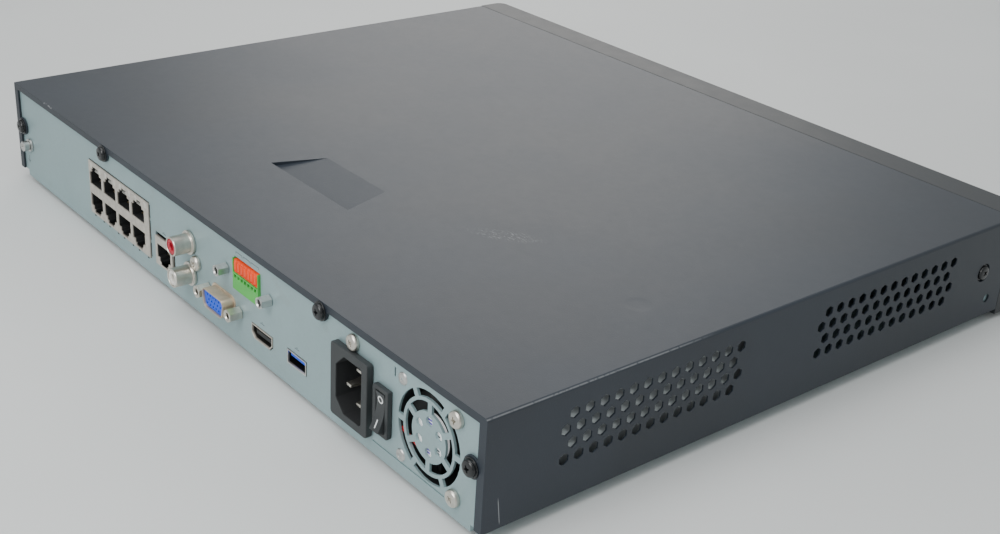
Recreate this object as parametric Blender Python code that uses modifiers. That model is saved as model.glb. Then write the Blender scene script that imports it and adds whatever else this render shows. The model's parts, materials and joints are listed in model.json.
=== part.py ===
"""A slim eight-channel video recorder in a folded steel case.

Metres, +Z up. The front bezel faces -Y and the jack panel faces +Y. The origin is at the middle of the
object's box, on the surface that its four feet stand on.
"""

import math

import bmesh
import bpy
from mathutils import Matrix

MM = 0.001
CLEARANCE = 0.3 * MM  # between pieces that touch, or pass through each other
PASS = 2.0 * MM  # how far a cutter runs past a sheet on either side
OVERRUN = 10.0 * MM  # how far a cutter runs out of a solid

# The case. Heights are above the jack panel's lower edge.
COVER_WIDTH = 372.3 * MM
COVER_DEPTH = 291.9 * MM
COVER_TOP = 46.9 * MM
COVER_SKIRT = 2.7 * MM
COVER_SHEET = 0.8 * MM
COVER_EDGE_RADIUS = 1.1 * MM
TOP_LIP = 3.1 * MM
SIDE_LIP = 3.8 * MM
BASE_SHEET = 1.0 * MM
BASE_FLANGE = 14.0 * MM
FLOOR_INSET = 5.6 * MM  # the floor is narrower than the cover, and drops below its sides
BEZEL_DEPTH = 15.8 * MM
BEZEL_WALL = 2.4 * MM
BEZEL_TAPER = 5.0 * MM
FOOT_HEIGHT = 2.5 * MM
FOOT_RADIUS = 9.0 * MM
FOOT_INSET = (42.0 * MM, 34.0 * MM)
FOOT_STEM_RADIUS = 2.4 * MM
FOOT_STEM = 2.6 * MM
FOOT_CHAMFER = 0.8 * MM

# Air holes in both side walls: two groups of staggered hexagons.
VENT_FLATS = 4.05 * MM
VENT_PITCH = 6.75 * MM
VENT_ROW_PITCH = 5.78 * MM
VENT_ROWS = 4
VENT_LOWEST_ROW = 19.4 * MM
VENT_REAR_MARGIN = 34.4 * MM
VENT_FRONT_MARGIN = 42.0 * MM
VENT_GROUP_GAP = 46.4 * MM

# A pressed ramp in the top sheet.
RAMP_CENTRE = 185.0 * MM
RAMP_WIDTHS = (60.0 * MM, 44.5 * MM)
RAMP_SETBACK = 52.5 * MM
RAMP_LENGTH = 23.8 * MM
RAMP_DROP = 1.7 * MM

# Screws. Places on the jack panel are (across from its left end, up from its lower edge), seen from behind.
# What belongs to the power supply is measured from the right end.
SCREW_HEAD_RADIUS = 3.3 * MM
SCREW_HEAD = 2.0 * MM
SCREW_SHANK_RADIUS = 1.4 * MM
SCREW_DRIVE = (0.9 * MM, 0.9 * MM)  # the recess for the driver: radius and depth
SCREW_CROWN = 0.1 * MM
SCREW_TIP = 0.5 * MM
SCREW_SHANK = 5.0 * MM
SCREW_TAB_RADIUS = 4.3 * MM
COVER_SCREW_SIDE = (6.5 * MM, 25.8 * MM)
COVER_SCREW_TOP_DROP = 4.1 * MM
COVER_SCREW_TOP_LEFT = 99.0 * MM
COVER_SCREW_TOP_RIGHT = 95.6 * MM
SIDE_SCREW = (16.9 * MM, 25.1 * MM)
SIDE_DIMPLE_RADIUS = 4.25 * MM
SIDE_DIMPLE = 1.2 * MM
SIDE_HOLE = (10.0 * MM, 10.9 * MM)
SIDE_HOLE_RADIUS = 2.0 * MM
SIDE_TAB = (24.0 * MM, 34.0 * MM)
GROUND_SCREW = (12.0 * MM, 17.5 * MM)
GROUND_SCREW_RADIUS = 2.5 * MM
GROUND_SCREW_REACH = 4.5 * MM
AUDIO_SCREW = (182.1 * MM, 22.7 * MM)
INLET_SCREW = (75.3 * MM, 39.3 * MM)

# The board that carries the jacks.
BOARD_TOP = 7.7 * MM
BOARD_THICKNESS = 1.6 * MM
BOARD_ACROSS = (72.0 * MM, 272.0 * MM)
BOARD_TO_DRIVE = 1.4 * MM
STANDOFF_INSET = 8.0 * MM
STANDOFF_RADIUS = 2.5 * MM
HEAT_SINK = (42.0 * MM, 42.0 * MM, 16.0 * MM)
HEAT_SINK_ACROSS = 190.0 * MM
HEAT_SINK_FINS = 8
HEAT_SINK_FLOOR = 3.0 * MM
HEAT_SINK_FIN = 1.6 * MM

# Network jacks: the openings are a tall mouth with a stepped notch for the plug's catch.
NETWORK_WALL = 0.5 * MM
NETWORK_PROUD = 0.6 * MM
NETWORK_LENGTH = 24.0 * MM
NETWORK_CAVITY = 12.5 * MM
NETWORK_MOUTH = (11.8 * MM, 6.1 * MM)
NETWORK_NOTCHES = ((8.0 * MM, 1.7 * MM), (5.8 * MM, 3.0 * MM))
POE_ACROSS = (81.0 * MM, 140.0 * MM)
POE_UP = (8.0 * MM, 33.8 * MM)
POE_PITCH = 13.97 * MM
POE_COLUMNS = 4
POE_SHIFT = 1.75 * MM  # the columns lie this far left of the shield's middle
POE_MOUTHS = (11.8 * MM, 28.6 * MM)
LAN_ACROSS = (145.3 * MM, 160.5 * MM)
LAN_UP = (8.0 * MM, 21.3 * MM)
LAN_SLACK = 1.4 * MM

# Sound jacks, one above the other.
AUDIO_ACROSS = 176.5 * MM
AUDIO_UP = {"upper": 30.0 * MM, "lower": 15.8 * MM}
AUDIO_REACH = 9.0 * MM
AUDIO_BARREL_RADII = (3.3 * MM, 4.15 * MM)
AUDIO_FLANGE_RADIUS = 5.0 * MM
AUDIO_FLANGE = 1.2 * MM
AUDIO_NECK_RADIUS = 3.7 * MM
AUDIO_BORE_RADIUS = 1.6 * MM
AUDIO_CORE_RECESS = 0.8 * MM
AUDIO_BORE = 6.5 * MM
AUDIO_TAIL = 11.0 * MM

# Monitor socket.
VGA_CENTRE = (203.8 * MM, 15.0 * MM)
VGA_SHELL = (16.9 * MM, 8.4 * MM)
VGA_REACH = 5.5 * MM
VGA_WALL = 0.55 * MM
VGA_SLOPE = math.radians(10)
VGA_CORNER = 2.4 * MM
VGA_FLANGE = (30.4 * MM, 11.4 * MM, 0.8 * MM)
VGA_INSERT_RECESS = 0.8 * MM
VGA_TAIL = 5.0 * MM
VGA_POST_SPACING = 24.99 * MM
VGA_POST_RADIUS = 2.9 * MM
VGA_POST_REACH = 5.9 * MM
VGA_POST_BORE = (1.35 * MM, 4.0 * MM)

# Alarm terminals, with a sprung lever over each wire entry.
TERMINAL_CENTRE = 222.9 * MM
TERMINAL_END = 0.71 * MM
TERMINAL_UP = (25.0 * MM, 38.4 * MM)
TERMINAL_PROUD = 1.2 * MM
TERMINAL_LENGTH = 14.0 * MM
TERMINAL_COUNT = 7
TERMINAL_PITCH = 2.54 * MM
TERMINAL_SHELF = 32.2 * MM
TERMINAL_ENTRY = (1.7 * MM, 1.5 * MM, 6.0 * MM)
TERMINAL_ENTRY_UP = 30.9 * MM
LEVER_GAP = 0.34 * MM
LEVER_SIZE = (TERMINAL_PITCH - LEVER_GAP, 5.6 * MM, 6.0 * MM)
LEVER_TRAVEL = 1.0 * MM
TERMINAL_POST_RADIUS = 2.6 * MM
TERMINAL_POST_REACH = 5.0 * MM
TERMINAL_POST_OFFSET = (6.9 * MM, 5.6 * MM)

# Digital video and data sockets.
HDMI_CENTRE = (233.5 * MM, 11.9 * MM)
HDMI_SHELL = (15.4 * MM, 6.0 * MM)
HDMI_CHAMFER = 2.0 * MM
HDMI_TONGUE = (11.0 * MM, 1.8 * MM)
USB_CENTRE = (258.85 * MM, 12.8 * MM)
USB_SHELL = (13.1 * MM, 5.9 * MM)
USB_TONGUE = (10.8 * MM, 1.9 * MM)
USB_TONGUE_RISE = 1.2 * MM
SOCKET_WALL = 0.4 * MM
SOCKET_PROUD = 0.4 * MM
SOCKET_LENGTH = 14.0 * MM
SOCKET_TONGUE_LENGTH = 11.0 * MM
SOCKET_BACK = 2.0 * MM

# Mains inlet, with its long side upright.
INLET_CENTRE = (74.7 * MM, 21.2 * MM)
INLET_BEZEL = (23.0 * MM, 29.8 * MM)
INLET_PROUD = 3.0 * MM
INLET_BODY = (20.6 * MM, 27.4 * MM)
INLET_LENGTH = 20.0 * MM
INLET_MOUTH = (15.7 * MM, 23.4 * MM)
INLET_CHAMFER = 5.0 * MM
INLET_CORNERS = (1.2 * MM, 1.5 * MM)  # outside and in the mouth
INLET_CAVITY = 16.0 * MM
INLET_BLADE = (4.0 * MM, 2.0 * MM)
INLET_BLADE_SETBACK = 3.5 * MM
INLET_EARTH_LEAD = 1.5 * MM  # the earth pin meets its socket first
INLET_BLADE_TAIL = 7.0 * MM
INLET_BLADE_SPREAD = 7.0 * MM
INLET_EARTH_SHIFT = 2.6 * MM
INLET_LINE_SHIFT = 1.4 * MM

# Mains switch.
SWITCH_CENTRE = (56.25 * MM, 21.2 * MM)
SWITCH_BEZEL = (9.1 * MM, 19.4 * MM)
SWITCH_PROUD = 2.2 * MM
SWITCH_BODY = (7.9 * MM, 17.9 * MM)
SWITCH_LENGTH = 13.0 * MM
SWITCH_WALL = 1.15 * MM
SWITCH_CORNER = 0.8 * MM
ROCKER_RADIUS = 7.7 * MM
ROCKER_RISE = 2.3 * MM
ROCKER_SAG = 1.5 * MM
ROCKER_TILT = math.radians(10)

# Power supply and its fan. The fan's corners take two screws and two rivets.
FAN_CENTRE = (31.0 * MM, 23.5 * MM)
FAN_SIZE = 38.0 * MM
FAN_DEPTH = 15.0 * MM
FAN_FIXING = 15.25 * MM
FAN_BORE_RADIUS = 17.8 * MM
FAN_HUB_RADIUS = 9.0 * MM
FAN_BLADE_RADIUS = 16.9 * MM
FAN_BLADES = 7
FAN_BLADE_PITCH = math.radians(38)
FAN_BLADE = (10.0 * MM, 1.0 * MM)
FAN_BLADE_ROOT = 1.2 * MM
FAN_HUB_CHAMFER = 0.8 * MM
FAN_BACK = 2.0 * MM
FAN_SPOKE = 3.0 * MM
ROTOR_GAP = 1.0 * MM
GRILLE_RINGS = ((9.5 * MM, 13.2 * MM, 30), (14.5 * MM, 17.4 * MM, 0))
GRILLE_RIB = 2.2 * MM
GRILLE_TOP = 41.0 * MM
GRILLE_SPOT_RING = 6.2 * MM
GRILLE_SPOT_RADIUS = 1.9 * MM
RIVET_RADIUS = 2.0 * MM
RIVET_PROUD = 0.35 * MM
SLIT = (50.8 * MM, 39.2 * MM, 0.8 * MM, 3.6 * MM)
SEAM = (21.3 * MM, 63.3 * MM, 5.3 * MM, 0.7 * MM)
SUPPLY_ACROSS = (3.0 * MM, 87.5 * MM)
SUPPLY_LENGTH = 128.0 * MM
SUPPLY_SHEET = 0.9 * MM
SUPPLY_HEIGHT = 43.6 * MM
SUPPLY_BOARD_UP = 6.0 * MM
SUPPLY_BOARD_MARGIN = 3.0 * MM
TRANSFORMER = (26.0 * MM, 24.0 * MM, 28.0 * MM)
CAPACITOR = (9.0 * MM, 28.0 * MM, 26.0 * MM)  # radius, height and distance from the transformer's middle

# Drive bays, behind the front wall.
DRIVE = (101.6 * MM, 147.0 * MM, 26.1 * MM)
DRIVE_ACROSS = 62.0 * MM
DRIVE_SETBACK = 6.0 * MM
DRIVE_BEVEL = 1.2 * MM

# Front bezel fittings, measured from its left end seen from behind.
WINDOW = (46.0 * MM, 25.0 * MM, 34.0 * MM, 5.0 * MM)
WINDOW_RECESS = 0.2 * MM
FRONT_SOCKET = (330.0 * MM, 17.0 * MM)

# Planes worked out from the sizes above.
PANEL_RECESS = COVER_SHEET + CLEARANCE
JACK_REACH = AUDIO_REACH - PANEL_RECESS
OVERALL_DEPTH = COVER_DEPTH + CLEARANCE + BEZEL_DEPTH + JACK_REACH
REAR_Y = OVERALL_DEPTH / 2 - JACK_REACH
FRONT_Y = REAR_Y - COVER_DEPTH
PANEL_Y = REAR_Y - PANEL_RECESS
SIDE_X = COVER_WIDTH / 2
BASE_X = SIDE_X - COVER_SHEET - CLEARANCE
BASE_TOP = COVER_TOP - COVER_SHEET - CLEARANCE
DRIVE_REAR = FRONT_Y + BASE_SHEET + DRIVE_SETBACK + DRIVE[1]

AS_SEEN_FROM_BEHIND = (math.pi / 2, 0, math.pi)
THROUGH_SIDES = (0, math.pi / 2, 0)
PARTS = bpy.data.collections.new("video_recorder")
CUTTERS = bpy.data.collections.new("cutters")
FINISHES = {
    "powder_coat": ((0.030, 0.034, 0.040), 0.5, 0.3),
    "zinc_steel": ((0.55, 0.59, 0.60), 0.4, 0.9),
    "nickel": ((0.66, 0.62, 0.55), 0.3, 1.0),
    "black_screw": ((0.012, 0.013, 0.015), 0.35, 0.6),
    "black_plastic": ((0.014, 0.015, 0.017), 0.5, 0.0),
    "grey_plastic": ((0.035, 0.040, 0.043), 0.55, 0.0),
    "rubber": ((0.012, 0.012, 0.012), 0.85, 0.0),
    "red_plastic": ((0.45, 0.02, 0.02), 0.4, 0.0),
    "white_plastic": ((0.75, 0.76, 0.74), 0.4, 0.0),
    "blue_plastic": ((0.02, 0.10, 0.42), 0.45, 0.0),
    "orange_plastic": ((0.75, 0.22, 0.03), 0.45, 0.0),
    "green_plastic": ((0.02, 0.26, 0.12), 0.45, 0.0),
    "circuit_board": ((0.01, 0.10, 0.05), 0.5, 0.0),
    "aluminium": ((0.70, 0.71, 0.72), 0.35, 1.0),
    "smoked_window": ((0.02, 0.02, 0.025), 0.1, 0.0),
}


def finish(name):
    """The material of this name, made the first time it is asked for."""
    made = bpy.data.materials.get(name)
    if made:
        return made
    color, roughness, metallic = FINISHES[name]
    made = bpy.data.materials.new(name)
    made.use_nodes = True
    shader = made.node_tree.nodes["Principled BSDF"]
    shader.inputs["Base Color"].default_value = (*color, 1)
    shader.inputs["Roughness"].default_value = roughness
    shader.inputs["Metallic"].default_value = metallic
    return made


def place(name, mesh, at, turn=(0, 0, 0), look=None, within=None):
    """One object from a mesh. With no look it is a cutter, which stays out of the model."""
    piece = bpy.data.objects.new(name, mesh)
    piece.location = at
    piece.rotation_euler = turn
    piece.parent = within
    if look:
        PARTS.objects.link(piece)
        mesh.materials.append(finish(look))
        mesh.shade_smooth()
        mesh.set_sharp_from_angle(angle=math.radians(35))
    else:
        CUTTERS.objects.link(piece)
        piece.hide_render = True
        piece.display_type = "WIRE"
    return piece


def mesh_from(name, shape):
    """A mesh from a bmesh, which is freed."""
    mesh = bpy.data.meshes.new(name)
    shape.to_mesh(mesh)
    shape.free()
    return mesh


def block(name, low, high, look=None, within=None, bevel=0.0):
    """A box between two opposite corners."""
    size = [b - a for a, b in zip(low, high)]
    centre = [(a + b) / 2 for a, b in zip(low, high)]
    shape = bmesh.new()
    bmesh.ops.create_cube(shape, size=1)
    bmesh.ops.scale(shape, vec=size, verts=shape.verts)
    piece = place(name, mesh_from(name, shape), centre, look=look, within=within)
    if bevel:
        edges = piece.modifiers.new("edges", "BEVEL")
        edges.width = bevel
        edges.segments = 1
    return piece


def slab(name, centre, size, depths, look=None, within=None):
    """A box centred on a place on a panel, from one depth to another."""
    low = (centre[0] - size[0] / 2, centre[1] - size[1] / 2, depths[0])
    high = (centre[0] + size[0] / 2, centre[1] + size[1] / 2, depths[1])
    return block(name, low, high, look, within)


def rod(name, centre, radius, depths, look=None, within=None, sides=16, turn=(0, 0, 0), spin=0.0):
    """A round or many-sided bar along its own Z, between two heights."""
    shape = bmesh.new()
    length = depths[1] - depths[0]
    lift = Matrix.Translation((0, 0, (depths[0] + depths[1]) / 2)) @ Matrix.Rotation(spin, 4, "Z")
    bmesh.ops.create_cone(
        shape, cap_ends=True, segments=sides, radius1=radius, radius2=radius, depth=length, matrix=lift
    )
    at = (centre[0], centre[1], centre[2] if len(centre) > 2 else 0)
    return place(name, mesh_from(name, shape), at, turn, look, within)


def turned(name, profile, at, look=None, within=None, turn=(0, 0, 0), steps=20):
    """A turned piece. The profile runs over the top, down the outer side and back under."""
    mesh = bpy.data.meshes.new(name)
    shape = bmesh.new()
    points = [shape.verts.new((radius, 0, height)) for radius, height in profile]
    for a, b in zip(points, points[1:]):
        shape.edges.new((a, b))
    if profile[0][0] > 0:
        shape.edges.new((points[-1], points[0]))
    shape.to_mesh(mesh)
    shape.free()
    piece = place(name, mesh, at, turn, look, within)
    spin = piece.modifiers.new("turning", "SCREW")
    spin.steps = steps
    spin.render_steps = steps
    spin.use_merge_vertices = True
    spin.merge_threshold = 0.00001
    return piece


def prism(name, outline, depths, at=(0, 0, 0), look=None, within=None, turn=(0, 0, 0)):
    """A flat outline given thickness, as one welded mesh."""
    curve = bpy.data.curves.new(name, "CURVE")
    curve.dimensions = "2D"
    curve.fill_mode = "BOTH"
    curve.extrude = (depths[1] - depths[0]) / 2
    line = curve.splines.new("POLY")
    line.points.add(len(outline) - 1)
    for point, (x, y) in zip(line.points, outline):
        point.co = (x, y, 0, 1)
    line.use_cyclic_u = True
    drawn = bpy.data.objects.new(name + "_outline", curve)
    PARTS.objects.link(drawn)
    bpy.context.view_layer.update()
    mesh = bpy.data.meshes.new_from_object(drawn.evaluated_get(bpy.context.evaluated_depsgraph_get()))
    bpy.data.objects.remove(drawn)
    bpy.data.curves.remove(curve)
    shape = bmesh.new()
    shape.from_mesh(mesh)
    bmesh.ops.remove_doubles(shape, verts=shape.verts, dist=0.000001)
    bmesh.ops.dissolve_limit(shape, angle_limit=0.001, verts=shape.verts, edges=shape.edges)
    bmesh.ops.translate(shape, vec=(0, 0, (depths[0] + depths[1]) / 2), verts=shape.verts)
    bmesh.ops.recalc_face_normals(shape, faces=shape.faces)
    shape.to_mesh(mesh)
    shape.free()
    return place(name, mesh, at, turn, look, within)


def combine(piece, others, operation):
    for other in others:
        step = piece.modifiers.new(other.name, "BOOLEAN")
        step.operation = operation
        step.object = other


def cut(piece, *cutters):
    """Takes each cutter's shape out of a piece."""
    combine(piece, cutters, "DIFFERENCE")


def join(piece, *additions):
    """Adds each addition's shape to a piece, as one body."""
    combine(piece, additions, "UNION")


def arc(centre, radius, start, end, steps):
    """Points along an arc, with the angles in radians."""
    return [
        (
            centre[0] + radius * math.cos(start + (end - start) * i / steps),
            centre[1] + radius * math.sin(start + (end - start) * i / steps),
        )
        for i in range(steps + 1)
    ]


def rounded(centre, size, radius, steps=3):
    """The outline of a rectangle with round corners."""
    x, y = size[0] / 2 - radius, size[1] / 2 - radius
    corners = ((x, y, 0), (-x, y, 1), (-x, -y, 2), (x, -y, 3))
    outline = []
    for corner_x, corner_y, quarter in corners:
        start = quarter * math.pi / 2
        middle = (centre[0] + corner_x, centre[1] + corner_y)
        outline += arc(middle, radius, start, start + math.pi / 2, steps)
    return outline


def from_right(place_on_panel):
    """A place measured from the panel's right end, turned into one from its left end."""
    return (COVER_WIDTH - place_on_panel[0], place_on_panel[1])


def pan_screw(name, at, look, within=None, turn=(0, 0, 0), shank=SCREW_SHANK):
    """A pan-head screw with a round recess for its driver."""
    profile = (
        (0, SCREW_HEAD - SCREW_CROWN - SCREW_DRIVE[1]),
        (SCREW_DRIVE[0], SCREW_HEAD - SCREW_CROWN),
        (SCREW_HEAD_RADIUS * 0.55, SCREW_HEAD - SCREW_CROWN),
        (SCREW_HEAD_RADIUS * 0.9, SCREW_HEAD * 0.6),
        (SCREW_HEAD_RADIUS, 0),
        (SCREW_SHANK_RADIUS, 0),
        (SCREW_SHANK_RADIUS, -shank),
        (0, -shank - SCREW_TIP),
    )
    return turned(name, profile, at, look, within, turn, steps=14)


def screw_hole(name, centre, within):
    """A cutter for a screw's shank and its clearance."""
    radius = SCREW_SHANK_RADIUS + CLEARANCE
    depths = (-SCREW_SHANK - PASS, SCREW_HEAD)
    return rod(name, centre, radius, depths, within=within, sides=10)


def make_base():
    """Floor, jack panel, front wall and low side flanges, folded from one sheet with a stepped floor."""
    floor = FOOT_HEIGHT
    step = floor + COVER_SKIRT
    outer_low = (-BASE_X, FRONT_Y, floor)
    outer_high = (BASE_X, PANEL_Y, floor + BASE_TOP)
    base = block("base_chassis", outer_low, outer_high, "zinc_steel")
    sheet = BASE_SHEET
    well = BASE_X - FLOOR_INSET - sheet
    well_low = (-well, FRONT_Y + sheet, floor + sheet)
    well_high = (well, PANEL_Y - sheet, floor + 2 * BASE_TOP)
    inner_low = (-BASE_X + sheet, FRONT_Y + sheet, step + sheet)
    inner_high = (BASE_X - sheet, PANEL_Y - sheet, floor + 2 * BASE_TOP)
    side_low = (-COVER_WIDTH, FRONT_Y + sheet, floor + BASE_FLANGE)
    side_high = (COVER_WIDTH, PANEL_Y - sheet, floor + 2 * BASE_TOP)
    cut(base, block("base_well", well_low, well_high), block("base_inside", inner_low, inner_high))
    cut(base, block("base_sides", side_low, side_high))
    for side in (-1, 1):
        near, far = sorted((side * (BASE_X - FLOOR_INSET), side * COVER_WIDTH))
        rebate_low = (near, FRONT_Y - OVERRUN, floor - OVERRUN)
        cut(base, block(f"floor_rebate_{side}", rebate_low, (far, PANEL_Y + OVERRUN, step)))
    return base


def add_side_tabs(base, cover):
    """A tab on each side of the base takes a screw through a dimple in the cover."""
    y = FRONT_Y + SIDE_SCREW[0]
    z = FOOT_HEIGHT + SIDE_SCREW[1]
    dimple_back = SIDE_X - COVER_SHEET - SIDE_DIMPLE
    tab_face = dimple_back - CLEARANCE
    for side, word in ((-1, "right"), (1, "left")):
        near, far = sorted((side * tab_face, side * (tab_face - BASE_SHEET)))
        bottom = FOOT_HEIGHT + COVER_SKIRT + BASE_SHEET / 2
        low = (near, FRONT_Y + BASE_SHEET / 2, bottom)
        high = (far, FRONT_Y + SIDE_TAB[0], FOOT_HEIGHT + SIDE_TAB[1])
        join(base, block(f"side_tab_{word}", low, high))
        near, far = sorted((side * (tab_face - BASE_SHEET), side * (BASE_X - BASE_SHEET / 2)))
        low = (near, FRONT_Y + BASE_SHEET / 2, bottom)
        high = (far, FRONT_Y + SIDE_TAB[0], FOOT_HEIGHT + BASE_FLANGE + BASE_SHEET / 2)
        join(base, block(f"side_tab_root_{word}", low, high))
        turn = (0, side * math.pi / 2, 0)
        seat = (side * (SIDE_X - SIDE_DIMPLE), y, z)
        back = (-COVER_SHEET, SIDE_DIMPLE - COVER_SHEET / 2)
        join(cover, rod(f"dimple_back_{word}", seat, SIDE_DIMPLE_RADIUS + COVER_SHEET, back, turn=turn))
        cut(cover, rod(f"dimple_{word}", seat, SIDE_DIMPLE_RADIUS, (0, 2 * SIDE_DIMPLE), turn=turn))
        hole = rod(
            f"side_screw_hole_{word}",
            seat,
            SCREW_SHANK_RADIUS + CLEARANCE,
            (-2 * SCREW_SHANK, SCREW_HEAD),
            sides=10,
            turn=turn,
        )
        cut(cover, hole)
        cut(base, hole)
        screw_seat = (seat[0] + side * CLEARANCE, y, z)
        pan_screw(f"cover_screw_side_{word}", screw_seat, "black_screw", turn=turn, shank=SCREW_SHANK)


def vent_columns():
    """How many holes fit in each of the two groups."""
    free = COVER_DEPTH - VENT_REAR_MARGIN - VENT_FRONT_MARGIN - VENT_GROUP_GAP
    return int((free / 2 - VENT_PITCH / 2) / VENT_PITCH + 1.01)


def vent_cutter():
    """Hexagonal bars through both side walls at once, points up."""
    radius = VENT_FLATS / math.sqrt(3)
    columns = vent_columns()
    group_step = (columns - 0.5) * VENT_PITCH + VENT_GROUP_GAP
    shape = bmesh.new()
    for group in range(2):
        for row in range(VENT_ROWS):
            stagger = VENT_PITCH / 2 if row % 2 else 0
            z = VENT_LOWEST_ROW + row * VENT_ROW_PITCH
            for column in range(columns):
                v = VENT_REAR_MARGIN + group * group_step + column * VENT_PITCH + stagger
                across = Matrix.Translation((0, REAR_Y - v, FOOT_HEIGHT + z))
                lie_down = Matrix.Rotation(math.pi / 2, 4, "Y") @ Matrix.Rotation(math.pi / 6, 4, "Z")
                bmesh.ops.create_cone(
                    shape,
                    cap_ends=True,
                    segments=6,
                    radius1=radius,
                    radius2=radius,
                    depth=COVER_WIDTH + OVERRUN,
                    matrix=across @ lie_down,
                )
    return place("vents", mesh_from("vents", shape), (0, 0, 0))


def ramp_outline(grow):
    """The pressed ramp's outline, deep edge first, with its origin at the middle of the deep edge."""
    wide, narrow = (width / 2 + grow for width in RAMP_WIDTHS)
    return [(-wide, grow), (-narrow, -RAMP_LENGTH - grow), (narrow, -RAMP_LENGTH - grow), (wide, grow)]


def add_ramp(cover):
    """A shallow ramp pressed into the top sheet, deepest towards the rear."""
    top = FOOT_HEIGHT + COVER_TOP
    at = (SIDE_X - RAMP_CENTRE, REAR_Y - RAMP_SETBACK, top)
    under = (-RAMP_DROP - COVER_SHEET, -COVER_SHEET / 2)
    join(cover, prism("ramp_back", ramp_outline(COVER_SHEET), under, at))
    slope = math.atan(RAMP_DROP / RAMP_LENGTH)
    hollow = prism("ramp_hollow", ramp_outline(0), (0, OVERRUN))
    hollow.data.transform(Matrix.Translation((0, RAMP_LENGTH, 0)))
    hollow.location = (at[0], at[1] - RAMP_LENGTH, top)
    hollow.rotation_euler = (-slope, 0, 0)
    cut(cover, hollow)


def make_cover():
    """Top and sides in one folded sheet, with a narrow lip round the jack panel."""
    low = (-SIDE_X, FRONT_Y, FOOT_HEIGHT + COVER_SKIRT)
    high = (SIDE_X, REAR_Y, FOOT_HEIGHT + COVER_TOP)
    cover = block("top_cover", low, high, "powder_coat")
    shape = bmesh.new()
    shape.from_mesh(cover.data)
    long_edges = [
        edge
        for edge in shape.edges
        if all(vert.co.z > 0 for vert in edge.verts)
        and abs(edge.verts[0].co.x - edge.verts[1].co.x) < CLEARANCE
    ]
    bmesh.ops.bevel(
        shape, geom=long_edges, offset=COVER_EDGE_RADIUS, segments=3, profile=0.5, affect="EDGES"
    )
    shape.to_mesh(cover.data)
    shape.free()
    sheet = COVER_SHEET
    inner_low = (-SIDE_X + sheet, FRONT_Y - COVER_DEPTH, -COVER_TOP)
    inner_high = (SIDE_X - sheet, REAR_Y - sheet, FOOT_HEIGHT + COVER_TOP - sheet)
    window_low = (-SIDE_X + SIDE_LIP, PANEL_Y, -COVER_TOP)
    window_high = (SIDE_X - SIDE_LIP, REAR_Y + COVER_TOP, FOOT_HEIGHT + COVER_TOP - TOP_LIP)
    cut(cover, block("cover_inside", inner_low, inner_high), block("panel_window", window_low, window_high))
    add_ramp(cover)
    cut(cover, vent_cutter())
    for side in (-1, 1):
        at = (side * SIDE_X, FRONT_Y + SIDE_HOLE[0], FOOT_HEIGHT + SIDE_HOLE[1])
        reach = (-2 * COVER_SHEET, 2 * COVER_SHEET)
        cut(cover, rod(f"side_hole_{side}", at, SIDE_HOLE_RADIUS, reach, turn=THROUGH_SIDES, sides=14))
    return cover


def add_rear_cover_screws(base, cover, frame):
    """Four black screws hold the cover's lips to the jack panel."""
    top_up = COVER_TOP - COVER_SCREW_TOP_DROP
    right_side = from_right(COVER_SCREW_SIDE)
    places = {
        "left": COVER_SCREW_SIDE,
        "top_left": (COVER_SCREW_TOP_LEFT, top_up),
        "top_right": (COVER_WIDTH - COVER_SCREW_TOP_RIGHT, top_up),
        "right": right_side,
    }
    for word, (across, up) in places.items():
        tab_face = (CLEARANCE, PANEL_RECESS)
        radius = min(SCREW_TAB_RADIUS, COVER_TOP - up - COVER_SHEET / 4)
        join(cover, rod(f"screw_tab_{word}", (across, up), radius, tab_face, within=frame, sides=18))
        hole = screw_hole(f"cover_screw_hole_{word}", (across, up), frame)
        cut(cover, hole)
        cut(base, hole)
        at = (across, up, PANEL_RECESS + CLEARANCE)
        pan_screw(f"cover_screw_rear_{word}", at, "black_screw", frame)


def add_panel_screws(base, frame):
    """Nickel screws through the jack panel into the sockets and the fan behind it."""
    across, up = from_right(FAN_CENTRE)
    places = {
        "audio_screw": AUDIO_SCREW,
        "inlet_screw": from_right(INLET_SCREW),
        "fan_screw_upper": (across + FAN_FIXING, up + FAN_FIXING),
        "fan_screw_lower": (across + FAN_FIXING, up - FAN_FIXING),
    }
    for name, centre in places.items():
        cut(base, screw_hole(name + "_hole", centre, frame))
        pan_screw(name, (*centre, CLEARANCE), "nickel", frame)


def add_ground_screw(base, frame):
    """The earthing screw, which stands proud of the panel."""
    radius, reach = GROUND_SCREW_RADIUS, GROUND_SCREW_REACH
    profile = (
        (0, reach),
        (radius * 0.8, reach),
        (radius, reach - SCREW_TIP),
        (radius, CLEARANCE),
        (SCREW_SHANK_RADIUS, CLEARANCE),
        (SCREW_SHANK_RADIUS, -SCREW_SHANK),
        (0, -SCREW_SHANK),
    )
    turned("ground_screw", profile, (*GROUND_SCREW, 0), "nickel", frame, steps=16)
    cut(base, screw_hole("ground_screw_hole", GROUND_SCREW, frame))


def network_outline(centre, way):
    """A network jack's mouth: way is 1 with its notch above, -1 with it below."""
    half, height = NETWORK_MOUTH[0] / 2, NETWORK_MOUTH[1]
    steps = [(half, 0), (half, height)]
    rise = height
    for width, notch in NETWORK_NOTCHES:
        steps += [(width / 2, rise), (width / 2, height + notch)]
        rise = height + notch
    right = [(x, y * way) for x, y in steps]
    left = [(-x, y) for x, y in reversed(right)]
    return [(centre[0] + x, centre[1] + y) for x, y in right + left]


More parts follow.
